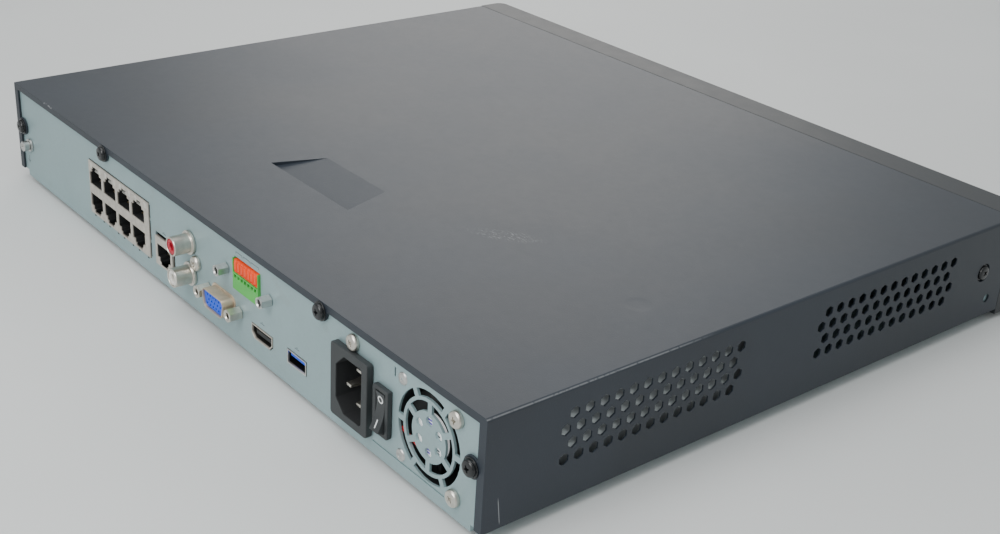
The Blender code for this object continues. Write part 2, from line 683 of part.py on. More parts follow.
def network_block(name, across, up, mouths, frame, base, slack=0.0):
    """A metal shield round a plastic housing, with one cavity for each plug."""
    wall, back = NETWORK_WALL, -NETWORK_LENGTH
    shield = block(
        name + "_shield", (across[0], up[0], back), (across[1], up[1], NETWORK_PROUD), "nickel", frame
    )
    low = (across[0] + wall, up[0] + wall, 2 * back)
    high = (across[1] - wall, up[1] - wall, NETWORK_PROUD - wall)
    cut(shield, block(name + "_shield_inside", low, high, within=frame))
    inner_low = (low[0] + CLEARANCE, low[1] + CLEARANCE, back)
    inner_high = (high[0] - CLEARANCE, high[1] - CLEARANCE, high[2] - CLEARANCE)
    housing = block(name + "_housing", inner_low, inner_high, "black_plastic", frame)
    for number, (centre, way) in enumerate(mouths, 1):
        outline = network_outline(centre, way)
        mouth = prism(f"{name}_mouth_{number}", outline, (-NETWORK_CAVITY, PASS), within=frame)
        cut(shield, mouth)
        cut(housing, mouth)
        housing.modifiers[-1].solver = "MANIFOLD"
    window_low = (across[0] - CLEARANCE, up[0] - CLEARANCE, -PASS)
    window_high = (across[1] + CLEARANCE + slack, up[1] + CLEARANCE + slack, PASS)
    cut(base, block(name + "_window", window_low, window_high, within=frame))


def add_network_jacks(base, frame):
    """Eight camera jacks in two rows, catches outward, and one network jack beside them."""
    middle = (POE_ACROSS[0] + POE_ACROSS[1]) / 2 - POE_SHIFT
    lower_base, upper_top = POE_MOUTHS
    mouths = []
    for column in range(POE_COLUMNS):
        across = middle + (column - (POE_COLUMNS - 1) / 2) * POE_PITCH
        mouths.append(((across, upper_top - NETWORK_MOUTH[1]), 1))
        mouths.append(((across, lower_base + NETWORK_MOUTH[1]), -1))
    network_block("camera_jacks", POE_ACROSS, POE_UP, mouths, frame, base)
    across = (LAN_ACROSS[0] + LAN_ACROSS[1]) / 2
    lone = [((across, lower_base + NETWORK_MOUTH[1]), -1)]
    network_block("network_jack", LAN_ACROSS, LAN_UP, lone, frame, base, LAN_SLACK)


def add_audio_jacks(base, frame):
    """Two sound jacks: a nickel barrel round a coloured plastic core and flange."""
    inner, outer = AUDIO_BARREL_RADII
    core, face = inner - CLEARANCE, AUDIO_REACH - AUDIO_CORE_RECESS
    for word, look in (("upper", "red_plastic"), ("lower", "white_plastic")):
        at = (AUDIO_ACROSS, AUDIO_UP[word], 0)
        plastic = (
            (0, face - AUDIO_BORE),
            (AUDIO_BORE_RADIUS, face - AUDIO_BORE),
            (AUDIO_BORE_RADIUS, face),
            (core, face),
            (core, AUDIO_FLANGE),
            (AUDIO_FLANGE_RADIUS, AUDIO_FLANGE),
            (AUDIO_FLANGE_RADIUS, CLEARANCE),
            (AUDIO_NECK_RADIUS, CLEARANCE),
            (AUDIO_NECK_RADIUS, -AUDIO_TAIL),
            (0, -AUDIO_TAIL),
        )
        turned(f"audio_core_{word}", plastic, at, look, frame)
        foot = AUDIO_FLANGE + CLEARANCE
        metal = ((inner, AUDIO_REACH), (outer, AUDIO_REACH), (outer, foot), (inner, foot))
        turned(f"audio_barrel_{word}", metal, at, "nickel", frame)
        radius = AUDIO_NECK_RADIUS + CLEARANCE
        cut(base, rod(f"audio_hole_{word}", at, radius, (-PASS, PASS), within=frame, sides=20))


def d_outline(centre, size, grow):
    """A monitor socket's outline: wide side up, ends leaning in, corners cut."""
    half, tall = size[0] / 2 + grow, size[1] / 2 + grow
    lean = 2 * tall * math.tan(VGA_SLOPE)
    corner = VGA_CORNER
    right = [
        (half - corner, tall),
        (half - corner * 0.3, tall - corner * 0.3),
        (half, tall - corner),
        (half - lean * 0.7, -tall + corner),
        (half - lean - corner * 0.3, -tall + corner * 0.3),
        (half - lean - corner, -tall),
    ]
    left = [(-x, y) for x, y in reversed(right)]
    return [(centre[0] + x, centre[1] + y) for x, y in right + left]


def add_vga(base, frame):
    """The monitor socket: a metal shell on a flange behind the panel, its insert, and two hex posts."""
    back = -BASE_SHEET - CLEARANCE
    depths = (back - VGA_FLANGE[2], back)
    shell = slab("vga_shell", VGA_CENTRE, VGA_FLANGE, depths, "nickel", frame)
    outline = d_outline(VGA_CENTRE, VGA_SHELL, 0)
    join(shell, prism("vga_shell_wall", outline, (back - VGA_FLANGE[2], VGA_REACH), within=frame))
    hollow = d_outline(VGA_CENTRE, VGA_SHELL, -VGA_WALL)
    cut(shell, prism("vga_shell_inside", hollow, (-OVERRUN, OVERRUN), within=frame))
    grown = d_outline(VGA_CENTRE, VGA_SHELL, CLEARANCE)
    cut(base, prism("vga_window", grown, (-PASS, PASS), within=frame))
    shrunk = d_outline(VGA_CENTRE, VGA_SHELL, -VGA_WALL - CLEARANCE)
    depths = (-VGA_TAIL, VGA_REACH - VGA_INSERT_RECESS)
    prism("vga_insert", shrunk, depths, look="blue_plastic", within=frame)
    for side, word in ((-1, "left"), (1, "right")):
        centre = (VGA_CENTRE[0] + side * VGA_POST_SPACING / 2, VGA_CENTRE[1])
        depths = (CLEARANCE, VGA_POST_REACH)
        post = rod(f"vga_post_{word}", centre, VGA_POST_RADIUS, depths, "nickel", frame, sides=6)
        shank = (-SCREW_SHANK, 2 * CLEARANCE)
        radius = SCREW_SHANK_RADIUS
        join(post, rod(f"vga_post_shank_{word}", centre, radius, shank, within=frame, sides=10))
        bore = (VGA_POST_REACH - VGA_POST_BORE[1], VGA_POST_REACH + PASS)
        cut(post, rod(f"vga_post_bore_{word}", centre, VGA_POST_BORE[0], bore, within=frame, sides=10))
        hole = screw_hole(f"vga_post_hole_{word}", centre, frame)
        cut(base, hole)
        cut(shell, hole)


def add_terminals(base, frame):
    """Seven alarm terminals, each with a sprung lever that is pushed in to free its wire."""
    row = TERMINAL_COUNT * TERMINAL_PITCH
    start = TERMINAL_CENTRE - row / 2
    left, right = start - TERMINAL_END, start + row + TERMINAL_END
    front = TERMINAL_PROUD
    low = (left, TERMINAL_UP[0], -TERMINAL_LENGTH)
    body = block("terminal_body", low, (right, TERMINAL_UP[1], front), "green_plastic", frame)
    bay_low = (start - CLEARANCE, TERMINAL_SHELF, front - LEVER_SIZE[2] - LEVER_TRAVEL - CLEARANCE)
    bay_high = (start + row + CLEARANCE, 2 * TERMINAL_UP[1], 2 * front)
    cut(body, block("lever_bay", bay_low, bay_high, within=frame))
    for number in range(TERMINAL_COUNT):
        across = start + (number + 0.5) * TERMINAL_PITCH
        entry = (front - TERMINAL_ENTRY[2], 2 * front)
        centre = (across, TERMINAL_ENTRY_UP)
        cut(body, slab(f"wire_entry_{number + 1}", centre, TERMINAL_ENTRY, entry, within=frame))
        centre = (across, TERMINAL_SHELF + CLEARANCE + LEVER_SIZE[1] / 2)
        depths = (front - LEVER_SIZE[2], front)
        slab(f"terminal_lever_{number + 1}", centre, LEVER_SIZE, depths, "orange_plastic", frame)
    window_low = (left - CLEARANCE, TERMINAL_UP[0] - CLEARANCE, -PASS)
    window_high = (right + CLEARANCE, TERMINAL_UP[1] + CLEARANCE, PASS)
    cut(base, block("terminal_window", window_low, window_high, within=frame))
    out, rise = TERMINAL_POST_OFFSET
    for across, word in ((left - out, "left"), (right + out, "right")):
        centre = (across, TERMINAL_UP[0] + rise)
        depths = (CLEARANCE, TERMINAL_POST_REACH)
        radius = TERMINAL_POST_RADIUS
        post = rod(f"terminal_post_{word}", centre, radius, depths, "nickel", frame, sides=6)
        shank = (-SCREW_SHANK, 2 * CLEARANCE)
        join(post, rod(f"terminal_shank_{word}", centre, SCREW_SHANK_RADIUS, shank, within=frame, sides=10))
        cut(base, screw_hole(f"terminal_post_hole_{word}", centre, frame))


def hdmi_outline(grow):
    """The video socket's outline, with its two lower corners cut."""
    x, y = HDMI_SHELL[0] / 2 + grow, HDMI_SHELL[1] / 2 + grow
    points = [(x, y), (-x, y), (-x, -y + HDMI_CHAMFER), (-x + HDMI_CHAMFER, -y)]
    points += [(x - HDMI_CHAMFER, -y), (x, -y + HDMI_CHAMFER)]
    return [(HDMI_CENTRE[0] + a, HDMI_CENTRE[1] + b) for a, b in points]


def box_outline(centre, size, grow):
    """A plain rectangle, grown on every side."""
    x, y = size[0] / 2 + grow, size[1] / 2 + grow
    return [(centre[0] + a * x, centre[1] + b * y) for a, b in ((1, 1), (-1, 1), (-1, -1), (1, -1))]


def small_socket(name, outline, tongue_centre, tongue_size, tongue_look, frame, body):
    """A thin steel shell, closed behind, round a contact tongue. It goes through an opening in body."""
    depths = (-SOCKET_LENGTH, SOCKET_PROUD)
    shell = prism(name + "_shell", outline(0), depths, look="nickel", within=frame)
    inside = (-SOCKET_LENGTH + SOCKET_BACK, PASS)
    cut(shell, prism(name + "_inside", outline(-SOCKET_WALL), inside, within=frame))
    cut(body, prism(name + "_window", outline(CLEARANCE), (-PASS, PASS), within=frame))
    back = -SOCKET_LENGTH + SOCKET_BACK + CLEARANCE
    depths = (back, back + SOCKET_TONGUE_LENGTH)
    slab(name + "_tongue", tongue_centre, tongue_size, depths, tongue_look, frame)


def add_data_sockets(base, frame):
    """The video socket and the data socket beside it."""
    small_socket("hdmi", hdmi_outline, HDMI_CENTRE, HDMI_TONGUE, "black_plastic", frame, base)
    tongue = (USB_CENTRE[0], USB_CENTRE[1] + USB_TONGUE_RISE)

    def outline(grow):
        return box_outline(USB_CENTRE, USB_SHELL, grow)

    small_socket("usb", outline, tongue, USB_TONGUE, "blue_plastic", frame, base)


def inlet_outline(centre):
    """The mains inlet's mouth, with two corners cut on the earth side."""
    x, y, corner, radius = INLET_MOUTH[0] / 2, INLET_MOUTH[1] / 2, INLET_CHAMFER, INLET_CORNERS[1]
    points = [(-x + corner, y), (-x, y - corner), (-x, -y + corner), (-x + corner, -y)]
    points += arc((x - radius, -y + radius), radius, -math.pi / 2, 0, 3)
    points += arc((x - radius, y - radius), radius, 0, math.pi / 2, 3)
    return [(centre[0] + a, centre[1] + b) for a, b in points]


def add_inlet(base, frame):
    """A three-pin mains inlet, earth pin to the left."""
    centre = from_right(INLET_CENTRE)
    bezel = rounded(centre, INLET_BEZEL, INLET_CORNERS[0], 2)
    inlet = prism("inlet_body", bezel, (CLEARANCE, INLET_PROUD), look="black_plastic", within=frame)
    join(inlet, slab("inlet_back", centre, INLET_BODY, (-INLET_LENGTH, INLET_PROUD / 2), within=frame))
    floor = INLET_PROUD - INLET_CAVITY
    cut(inlet, prism("inlet_mouth", inlet_outline(centre), (floor, OVERRUN), within=frame))
    grown = [side + 2 * CLEARANCE for side in INLET_BODY]
    cut(base, slab("inlet_window", centre, grown, (-PASS, PASS), within=frame))
    spread = INLET_BLADE_SPREAD
    pins = {
        "earth": (-INLET_EARTH_SHIFT, 0, INLET_EARTH_LEAD),
        "line": (INLET_LINE_SHIFT, spread, 0),
        "neutral": (INLET_LINE_SHIFT, -spread, 0),
    }
    for word, (x, y, lead) in pins.items():
        at = (centre[0] + x, centre[1] + y)
        depths = (-INLET_LENGTH - INLET_BLADE_TAIL, INLET_PROUD - INLET_BLADE_SETBACK + lead)
        slab(f"inlet_blade_{word}", at, INLET_BLADE, depths, "nickel", frame)
        slot = [side + 2 * CLEARANCE for side in INLET_BLADE]
        cut(inlet, slab(f"inlet_slot_{word}", at, slot, (-2 * INLET_LENGTH, 0), within=frame))


def rocker_outline():
    """The rocker from its side: X is along its length and Y is outwards from its pivot."""
    rise = math.asin(ROCKER_RISE / ROCKER_RADIUS)
    drop = math.radians(-24)
    end = arc((0, 0), ROCKER_RADIUS, drop, rise, 6)
    tip = end[-1]
    hollow = 6
    crest = []
    for i in range(1, 2 * hollow):
        along = 1 - i / hollow
        crest.append((tip[0] * along, tip[1] - ROCKER_SAG * (1 - along**2)))
    other = [(-x, y) for x, y in reversed(end)]
    return end + crest + other


def add_switch(base, frame):
    """The mains switch, with its rocker pressed at the top."""
    centre = from_right(SWITCH_CENTRE)
    bezel = rounded(centre, SWITCH_BEZEL, SWITCH_CORNER, 2)
    case = prism("switch_case", bezel, (CLEARANCE, SWITCH_PROUD), look="black_plastic", within=frame)
    join(case, slab("switch_back", centre, SWITCH_BODY, (-SWITCH_LENGTH, SWITCH_PROUD / 2), within=frame))
    bay = (SWITCH_BODY[0] - 2 * SWITCH_WALL, 2 * (ROCKER_RADIUS + CLEARANCE))
    floor = -SWITCH_LENGTH + SWITCH_WALL
    cut(case, slab("rocker_bay", centre, bay, (floor, OVERRUN), within=frame))
    grown = [side + 2 * CLEARANCE for side in SWITCH_BODY]
    cut(base, slab("switch_window", centre, grown, (-PASS, PASS), within=frame))
    half = bay[0] / 2 - CLEARANCE
    pivot = SWITCH_PROUD - ROCKER_RISE + ROCKER_SAG
    rocker = prism("power_rocker", rocker_outline(), (-half, half), look="grey_plastic", within=frame)
    rocker.location = (*centre, pivot)
    along_panel = Matrix(((0, 0, 1), (1, 0, 0), (0, 1, 0)))
    rocker.rotation_euler = (Matrix.Rotation(-ROCKER_TILT, 3, "X") @ along_panel).to_euler()


def grille_ring(name, inner, outer, first_rib, centre, frame):
    """Curved slots between two radii, parted by six ribs."""
    profile = ((inner, PASS), (outer, PASS), (outer, -PASS), (inner, -PASS))
    ring = turned(name, profile, (*centre, 0), within=frame, steps=36)
    for bar in range(3):
        angle = math.radians(first_rib + 60 * bar)
        low = (-2 * outer, -GRILLE_RIB / 2, -OVERRUN)
        high = (2 * outer, GRILLE_RIB / 2, OVERRUN)
        rib = block(f"{name}_rib_{bar}", low, high, within=frame)
        rib.location = (*centre, 0)
        rib.rotation_euler = (0, 0, angle)
        cut(ring, rib)
    above = (GRILLE_TOP + OVERRUN) / 2
    cap_centre = (centre[0], GRILLE_TOP + above)
    cut(ring, slab(name + "_cap", cap_centre, (4 * outer, 2 * above), (-OVERRUN, OVERRUN), within=frame))
    return ring


def add_fan(base, frame):
    """The fan's grille in the panel, its square frame and its rotor."""
    centre = from_right(FAN_CENTRE)
    for number, (inner, outer, first_rib) in enumerate(GRILLE_RINGS):
        cut(base, grille_ring(f"grille_{number}", inner, outer, first_rib, centre, frame))
    for number in range(6):
        angle = math.radians(30 + 60 * number)
        x = centre[0] + GRILLE_SPOT_RING * math.cos(angle)
        y = centre[1] + GRILLE_SPOT_RING * math.sin(angle)
        spot = rod(f"spot_{number}", (x, y), GRILLE_SPOT_RADIUS, (-PASS, PASS), within=frame, sides=8)
        cut(base, spot)
    front = -BASE_SHEET - CLEARANCE
    size = (FAN_SIZE, FAN_SIZE)
    housing = slab("fan_frame", centre, size, (front - FAN_DEPTH, front), "black_plastic", frame)
    bore_depths = (front - FAN_DEPTH + FAN_BACK, OVERRUN)
    cut(housing, rod("fan_bore", centre, FAN_BORE_RADIUS, bore_depths, within=frame, sides=32))
    reach = 2 * FAN_BACK
    inner, outer = FAN_HUB_RADIUS, FAN_BLADE_RADIUS
    profile = ((inner, reach), (outer, reach), (outer, -reach), (inner, -reach))
    intake = turned("fan_intake", profile, (*centre, front - FAN_DEPTH), within=frame, steps=24)
    for bar in range(2):
        low = (-FAN_SIZE, -FAN_SPOKE / 2, -OVERRUN)
        arm = block(f"fan_spoke_{bar}", low, (FAN_SIZE, FAN_SPOKE / 2, OVERRUN), within=frame)
        arm.location = (*centre, front - FAN_DEPTH)
        arm.rotation_euler = (0, 0, math.radians(45 + 90 * bar))
        cut(intake, arm)
    cut(housing, intake)
    for side in (-1, 1):
        fixing = (centre[0] + FAN_FIXING, centre[1] + side * FAN_FIXING)
        cut(housing, screw_hole(f"fan_fixing_{side}", fixing, frame))
        rivet = (centre[0] - FAN_FIXING, centre[1] + side * FAN_FIXING)
        proud = (-BASE_SHEET / 2, RIVET_PROUD)
        join(base, rod(f"rivet_{side}", rivet, RIVET_RADIUS, proud, within=frame, sides=14))
    add_rotor(centre, front, frame)


def add_rotor(centre, front, frame):
    """A hub with seven pitched blades, turning on the fan's axis."""
    hub_front, hub_back = front - ROTOR_GAP, front - FAN_DEPTH + FAN_BACK + ROTOR_GAP
    middle = (hub_front + hub_back) / 2
    half = (hub_front - hub_back) / 2
    at = (*centre, middle)
    profile = (
        (0, half),
        (FAN_HUB_RADIUS - FAN_HUB_CHAMFER, half),
        (FAN_HUB_RADIUS, half - FAN_HUB_CHAMFER),
        (FAN_HUB_RADIUS, -half),
        (0, -half),
    )
    rotor = turned("fan_rotor", profile, at, "black_plastic", frame, steps=21)
    for number in range(FAN_BLADES):
        angle = 2 * math.pi * number / FAN_BLADES
        chord, thick = FAN_BLADE
        low = (FAN_HUB_RADIUS - FAN_BLADE_ROOT, -chord / 2, -thick / 2)
        blade = block(f"blade_{number}", low, (FAN_BLADE_RADIUS, chord / 2, thick / 2), within=frame)
        middle_of_blade = Matrix.Translation(blade.location)
        tilt = Matrix.Rotation(FAN_BLADE_PITCH, 4, "X")
        blade.data.transform(tilt @ middle_of_blade)
        blade.location = at
        blade.rotation_euler = (0, 0, angle)
        join(rotor, blade)


def add_supply(frame):
    """The power supply: a zinc case open below, over its own board."""
    left, right = COVER_WIDTH - SUPPLY_ACROSS[1], COVER_WIDTH - SUPPLY_ACROSS[0]
    front = -BASE_SHEET - CLEARANCE
    bottom = COVER_SKIRT + BASE_SHEET + CLEARANCE
    low, high = (left, bottom, -SUPPLY_LENGTH), (right, SUPPLY_HEIGHT, front)
    case = block("supply_case", low, high, "zinc_steel", frame)
    sheet = SUPPLY_SHEET
    low = (left + sheet, -bottom, -SUPPLY_LENGTH + sheet)
    cut(case, block("supply_inside", low, (right - sheet, SUPPLY_HEIGHT - sheet, OVERRUN), within=frame))
    margin = SUPPLY_BOARD_MARGIN
    back = -INLET_LENGTH - INLET_BLADE_TAIL - margin
    low = (left + margin, SUPPLY_BOARD_UP, -SUPPLY_LENGTH + margin)
    high = (right - margin, SUPPLY_BOARD_UP + BOARD_THICKNESS, back)
    board = block("supply_board", low, high, "circuit_board", frame)
    middle = ((left + right) / 2, SUPPLY_BOARD_UP, (low[2] + back) / 2)
    wide, tall, long = TRANSFORMER
    low = (middle[0] - wide / 2, middle[1], middle[2] - long / 2)
    high = (middle[0] + wide / 2, middle[1] + tall, middle[2] + long / 2)
    join(board, block("transformer", low, high, within=frame))
    radius, tall, apart = CAPACITOR
    for side in (-1, 1):
        at = (middle[0] + side * apart, middle[1], middle[2])
        stand_up = (-math.pi / 2, 0, 0)
        can = rod(f"capacitor_{side}", at, radius, (0, tall), within=frame, turn=stand_up)
        join(board, can)


def add_main_board(base, frame):
    """The main board on pressed standoffs, and the finned heat sink on its processor."""
    back = -BASE_SHEET - 2 * CLEARANCE - VGA_FLANGE[2] - VGA_TAIL
    front = DRIVE_REAR + BOARD_TO_DRIVE - PANEL_Y
    left, right = BOARD_ACROSS
    under = BOARD_TOP - BOARD_THICKNESS
    low, high = (left, under, front), (right, BOARD_TOP, back)
    block("main_board", low, high, "circuit_board", frame)
    for across in (left + STANDOFF_INSET, right - STANDOFF_INSET):
        for depth in (back - STANDOFF_INSET, front + STANDOFF_INSET):
            at = (across, 0, depth)
            height = (BASE_SHEET / 2, under - CLEARANCE)
            stand_up = (-math.pi / 2, 0, 0)
            name = f"standoff_{across:.3f}_{depth:.3f}"
            join(base, rod(name, at, STANDOFF_RADIUS, height, within=frame, sides=10, turn=stand_up))
    across, depth = HEAT_SINK_ACROSS, (back + front) / 2
    wide, long, tall = HEAT_SINK
    low = (across - wide / 2, BOARD_TOP + CLEARANCE, depth - long / 2)
    high = (across + wide / 2, low[1] + tall, depth + long / 2)
    sink = block("heat_sink", low, high, "aluminium", frame)
    pitch = (wide - HEAT_SINK_FIN) / (HEAT_SINK_FINS - 1)
    for number in range(HEAT_SINK_FINS - 1):
        start = low[0] + HEAT_SINK_FIN + number * pitch
        slot_low = (start, low[1] + HEAT_SINK_FLOOR, low[2] - PASS)
        slot_high = (start + pitch - HEAT_SINK_FIN, high[1] + PASS, high[2] + PASS)
        cut(sink, block(f"fin_gap_{number}", slot_low, slot_high, within=frame))


def add_drive():
    """A full-size hard drive on the floor, behind the front wall."""
    wide, long, tall = DRIVE
    left = SIDE_X - DRIVE_ACROSS
    bottom = FOOT_HEIGHT + BASE_SHEET + CLEARANCE
    low, high = (left - wide, DRIVE_REAR - long, bottom), (left, DRIVE_REAR, bottom + tall)
    block("hard_drive", low, high, "aluminium", bevel=DRIVE_BEVEL)


def add_bezel():
    """The moulded front, its signal window and a data socket."""
    back = FRONT_Y - CLEARANCE
    front = back - BEZEL_DEPTH
    top = FOOT_HEIGHT + COVER_TOP
    outline = [(-SIDE_X, back), (SIDE_X, back), (SIDE_X, front + BEZEL_TAPER)]
    outline += arc((SIDE_X - BEZEL_TAPER, front + BEZEL_TAPER), BEZEL_TAPER, 0, -math.pi / 2, 4)[1:]
    outline += arc((-SIDE_X + BEZEL_TAPER, front + BEZEL_TAPER), BEZEL_TAPER, -math.pi / 2, -math.pi, 4)
    bezel = prism("front_bezel", outline, (FOOT_HEIGHT, top), look="black_plastic")
    wall = BEZEL_WALL
    low = (-SIDE_X + wall, front + wall, FOOT_HEIGHT + wall)
    high = (SIDE_X - wall, back + wall, top - wall)
    hollow = block("bezel_inside", low, high)
    hollow_edges = hollow.modifiers.new("corners", "BEVEL")
    hollow_edges.width = BEZEL_TAPER - wall
    hollow_edges.segments = 1
    cut(bezel, hollow)
    front_frame = bpy.data.objects.new("front_frame", None)
    front_frame.location = (SIDE_X, front, FOOT_HEIGHT)
    front_frame.rotation_euler = (math.pi / 2, 0, 0)
    PARTS.objects.link(front_frame)
    bpy.context.view_layer.update()
    across, up, wide, tall = WINDOW
    centre = (-across, up)
    depths = (-wall - CLEARANCE, -WINDOW_RECESS)
    slab("indicator_window", centre, (wide, tall), depths, "smoked_window", front_frame)
    grown = (wide + 2 * CLEARANCE, tall + 2 * CLEARANCE)
    cut(bezel, slab("indicator_opening", centre, grown, (-OVERRUN, OVERRUN), within=front_frame))
    centre = (-FRONT_SOCKET[0], FRONT_SOCKET[1])
    shell = prism(
        "front_usb_shell",
        box_outline(centre, USB_SHELL, 0),
        (-SOCKET_LENGTH + SOCKET_BACK, -SOCKET_PROUD),
        look="nickel",
        within=front_frame,
    )
    inside = box_outline(centre, USB_SHELL, -SOCKET_WALL)
    depths = (-SOCKET_LENGTH + 2 * SOCKET_BACK, PASS)
    cut(shell, prism("front_usb_inside", inside, depths, within=front_frame))
    opening = box_outline(centre, USB_SHELL, CLEARANCE)
    cut(bezel, prism("front_usb_opening", opening, (-OVERRUN, OVERRUN), within=front_frame))


def add_feet(base):
    """Four rubber feet, each with a stem through the floor."""
    rim = FOOT_HEIGHT - CLEARANCE
    profile = (
        (0, FOOT_HEIGHT + FOOT_STEM),
        (FOOT_STEM_RADIUS, FOOT_HEIGHT + FOOT_STEM),
        (FOOT_STEM_RADIUS, rim),
        (FOOT_RADIUS, rim),
        (FOOT_RADIUS - FOOT_CHAMFER, 0),
        (0, 0),
    )
    for side, side_word in ((1, "left"), (-1, "right")):
        for y, end_word in ((FRONT_Y + FOOT_INSET[1], "front"), (REAR_Y - FOOT_INSET[1], "rear")):
            at = (side * (SIDE_X - FOOT_INSET[0]), y, 0)
            turned(f"foot_{end_word}_{side_word}", profile, at, "rubber")
            radius = FOOT_STEM_RADIUS + CLEARANCE
            depths = (FOOT_HEIGHT - PASS, FOOT_HEIGHT + PASS)
            cut(base, rod(f"foot_hole_{end_word}_{side_word}", at, radius, depths, sides=12))


def add_panel_marks(base, frame):
    """A slot beside the fan and the seam along the power supply's lower edge."""
    across, up, wide, tall = SLIT
    centre = (COVER_WIDTH - across, up)
    cut(base, slab("slit", centre, (wide, tall), (-PASS, PASS), within=frame))
    near, far, up, tall = SEAM
    centre = (COVER_WIDTH - (near + far) / 2, up)
    cut(base, slab("seam", centre, (far - near, tall), (-BASE_SHEET / 2, PASS), within=frame))


def main():
    for old in list(bpy.data.objects):
        bpy.data.objects.remove(old)
    bpy.context.scene.collection.children.link(PARTS)
    bpy.context.scene.collection.children.link(CUTTERS)
    CUTTERS.hide_render = True
    frame = bpy.data.objects.new("jack_panel_frame", None)
    frame.location = (SIDE_X, PANEL_Y, FOOT_HEIGHT)
    frame.rotation_euler = AS_SEEN_FROM_BEHIND
    PARTS.objects.link(frame)
    bpy.context.view_layer.update()
    base = make_base()
    cover = make_cover()
    add_side_tabs(base, cover)
    add_rear_cover_screws(base, cover, frame)
    add_panel_screws(base, frame)
    add_ground_screw(base, frame)
    add_network_jacks(base, frame)
    add_audio_jacks(base, frame)
    add_vga(base, frame)
    add_terminals(base, frame)
    add_data_sockets(base, frame)
    add_inlet(base, frame)
    add_switch(base, frame)
    add_fan(base, frame)
    add_supply(frame)
    add_main_board(base, frame)
    add_drive()
    add_bezel()
    add_feet(base)
    add_panel_marks(base, frame)


main()
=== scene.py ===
"""The looks of a slim eight-channel video recorder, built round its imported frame.

Metres, +Z up. The jack panel faces +Y. Places come from the frame's own boxes.
"""

from __future__ import annotations

import json
import logging
import random
from dataclasses import dataclass
from enum import Enum
from functools import cache, partialmethod
from math import asin, atan, cos, pi, radians, sin, tan

import bmesh
import bpy
from mathutils import Matrix, Vector


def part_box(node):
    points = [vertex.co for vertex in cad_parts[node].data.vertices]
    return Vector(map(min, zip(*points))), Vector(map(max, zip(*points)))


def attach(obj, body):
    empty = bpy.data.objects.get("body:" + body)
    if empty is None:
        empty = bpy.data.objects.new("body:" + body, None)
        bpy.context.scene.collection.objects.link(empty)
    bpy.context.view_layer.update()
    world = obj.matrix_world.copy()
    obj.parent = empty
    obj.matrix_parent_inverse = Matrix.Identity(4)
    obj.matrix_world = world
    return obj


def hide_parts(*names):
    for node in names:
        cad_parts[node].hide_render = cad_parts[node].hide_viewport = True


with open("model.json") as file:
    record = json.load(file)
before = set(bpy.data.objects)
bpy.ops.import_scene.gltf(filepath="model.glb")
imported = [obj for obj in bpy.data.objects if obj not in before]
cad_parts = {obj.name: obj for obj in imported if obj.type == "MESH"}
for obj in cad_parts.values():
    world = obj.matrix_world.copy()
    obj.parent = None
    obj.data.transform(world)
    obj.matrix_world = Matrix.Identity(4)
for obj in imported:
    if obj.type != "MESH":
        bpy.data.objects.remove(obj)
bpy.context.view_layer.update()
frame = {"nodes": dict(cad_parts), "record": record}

LOG = logging.getLogger("recorder")
MM = 0.001
ROOT = "root"
UNMOVED = Matrix()
Shape = bmesh.types.BMesh
Piece = bpy.types.Object
Point = tuple[float, float]
Triple = tuple[float, float, float]
Colour = Triple
Material = bpy.types.Material


# Shader maths


class Signal:
    """A shader socket that can be used in Python arithmetic."""

    def __init__(self, graph: Graph, socket: bpy.types.NodeSocket) -> None:
        """Wraps one output socket of a graph."""
        self.graph = graph
        self.socket = socket

    def _with(self, operation: str, *others: Signal | float) -> Signal:
        """Adds one Math node that works on this signal and the others."""
        return self.graph.math(operation, self, *others)

    def __rsub__(self, other: float) -> Signal:
        """Difference, number first."""
        return self.graph.math("SUBTRACT", other, self)

    __add__ = __radd__ = partialmethod(_with, "ADD")
    __mul__ = __rmul__ = partialmethod(_with, "MULTIPLY")
    __sub__ = partialmethod(_with, "SUBTRACT")
    __abs__ = partialmethod(_with, "ABSOLUTE")
    larger = partialmethod(_with, "MAXIMUM")
    smaller = partialmethod(_with, "MINIMUM")

    def rise(self, low: float, high: float) -> Signal:
        """A soft step: 0 below low and 1 above high, or the other way round if high is below low.

        Args:
            low: Where the step starts.
            high: Where the step ends.

        Returns:
            The step's value, from 0 to 1.
        """
        if high < low:
            return 1.0 - self.rise(high, low)
        settings = {"interpolation_type": "SMOOTHSTEP"}
        values = {"Value": self, "From Min": low, "From Max": high}
        return self.graph.node("ShaderNodeMapRange", settings, values, "Result")


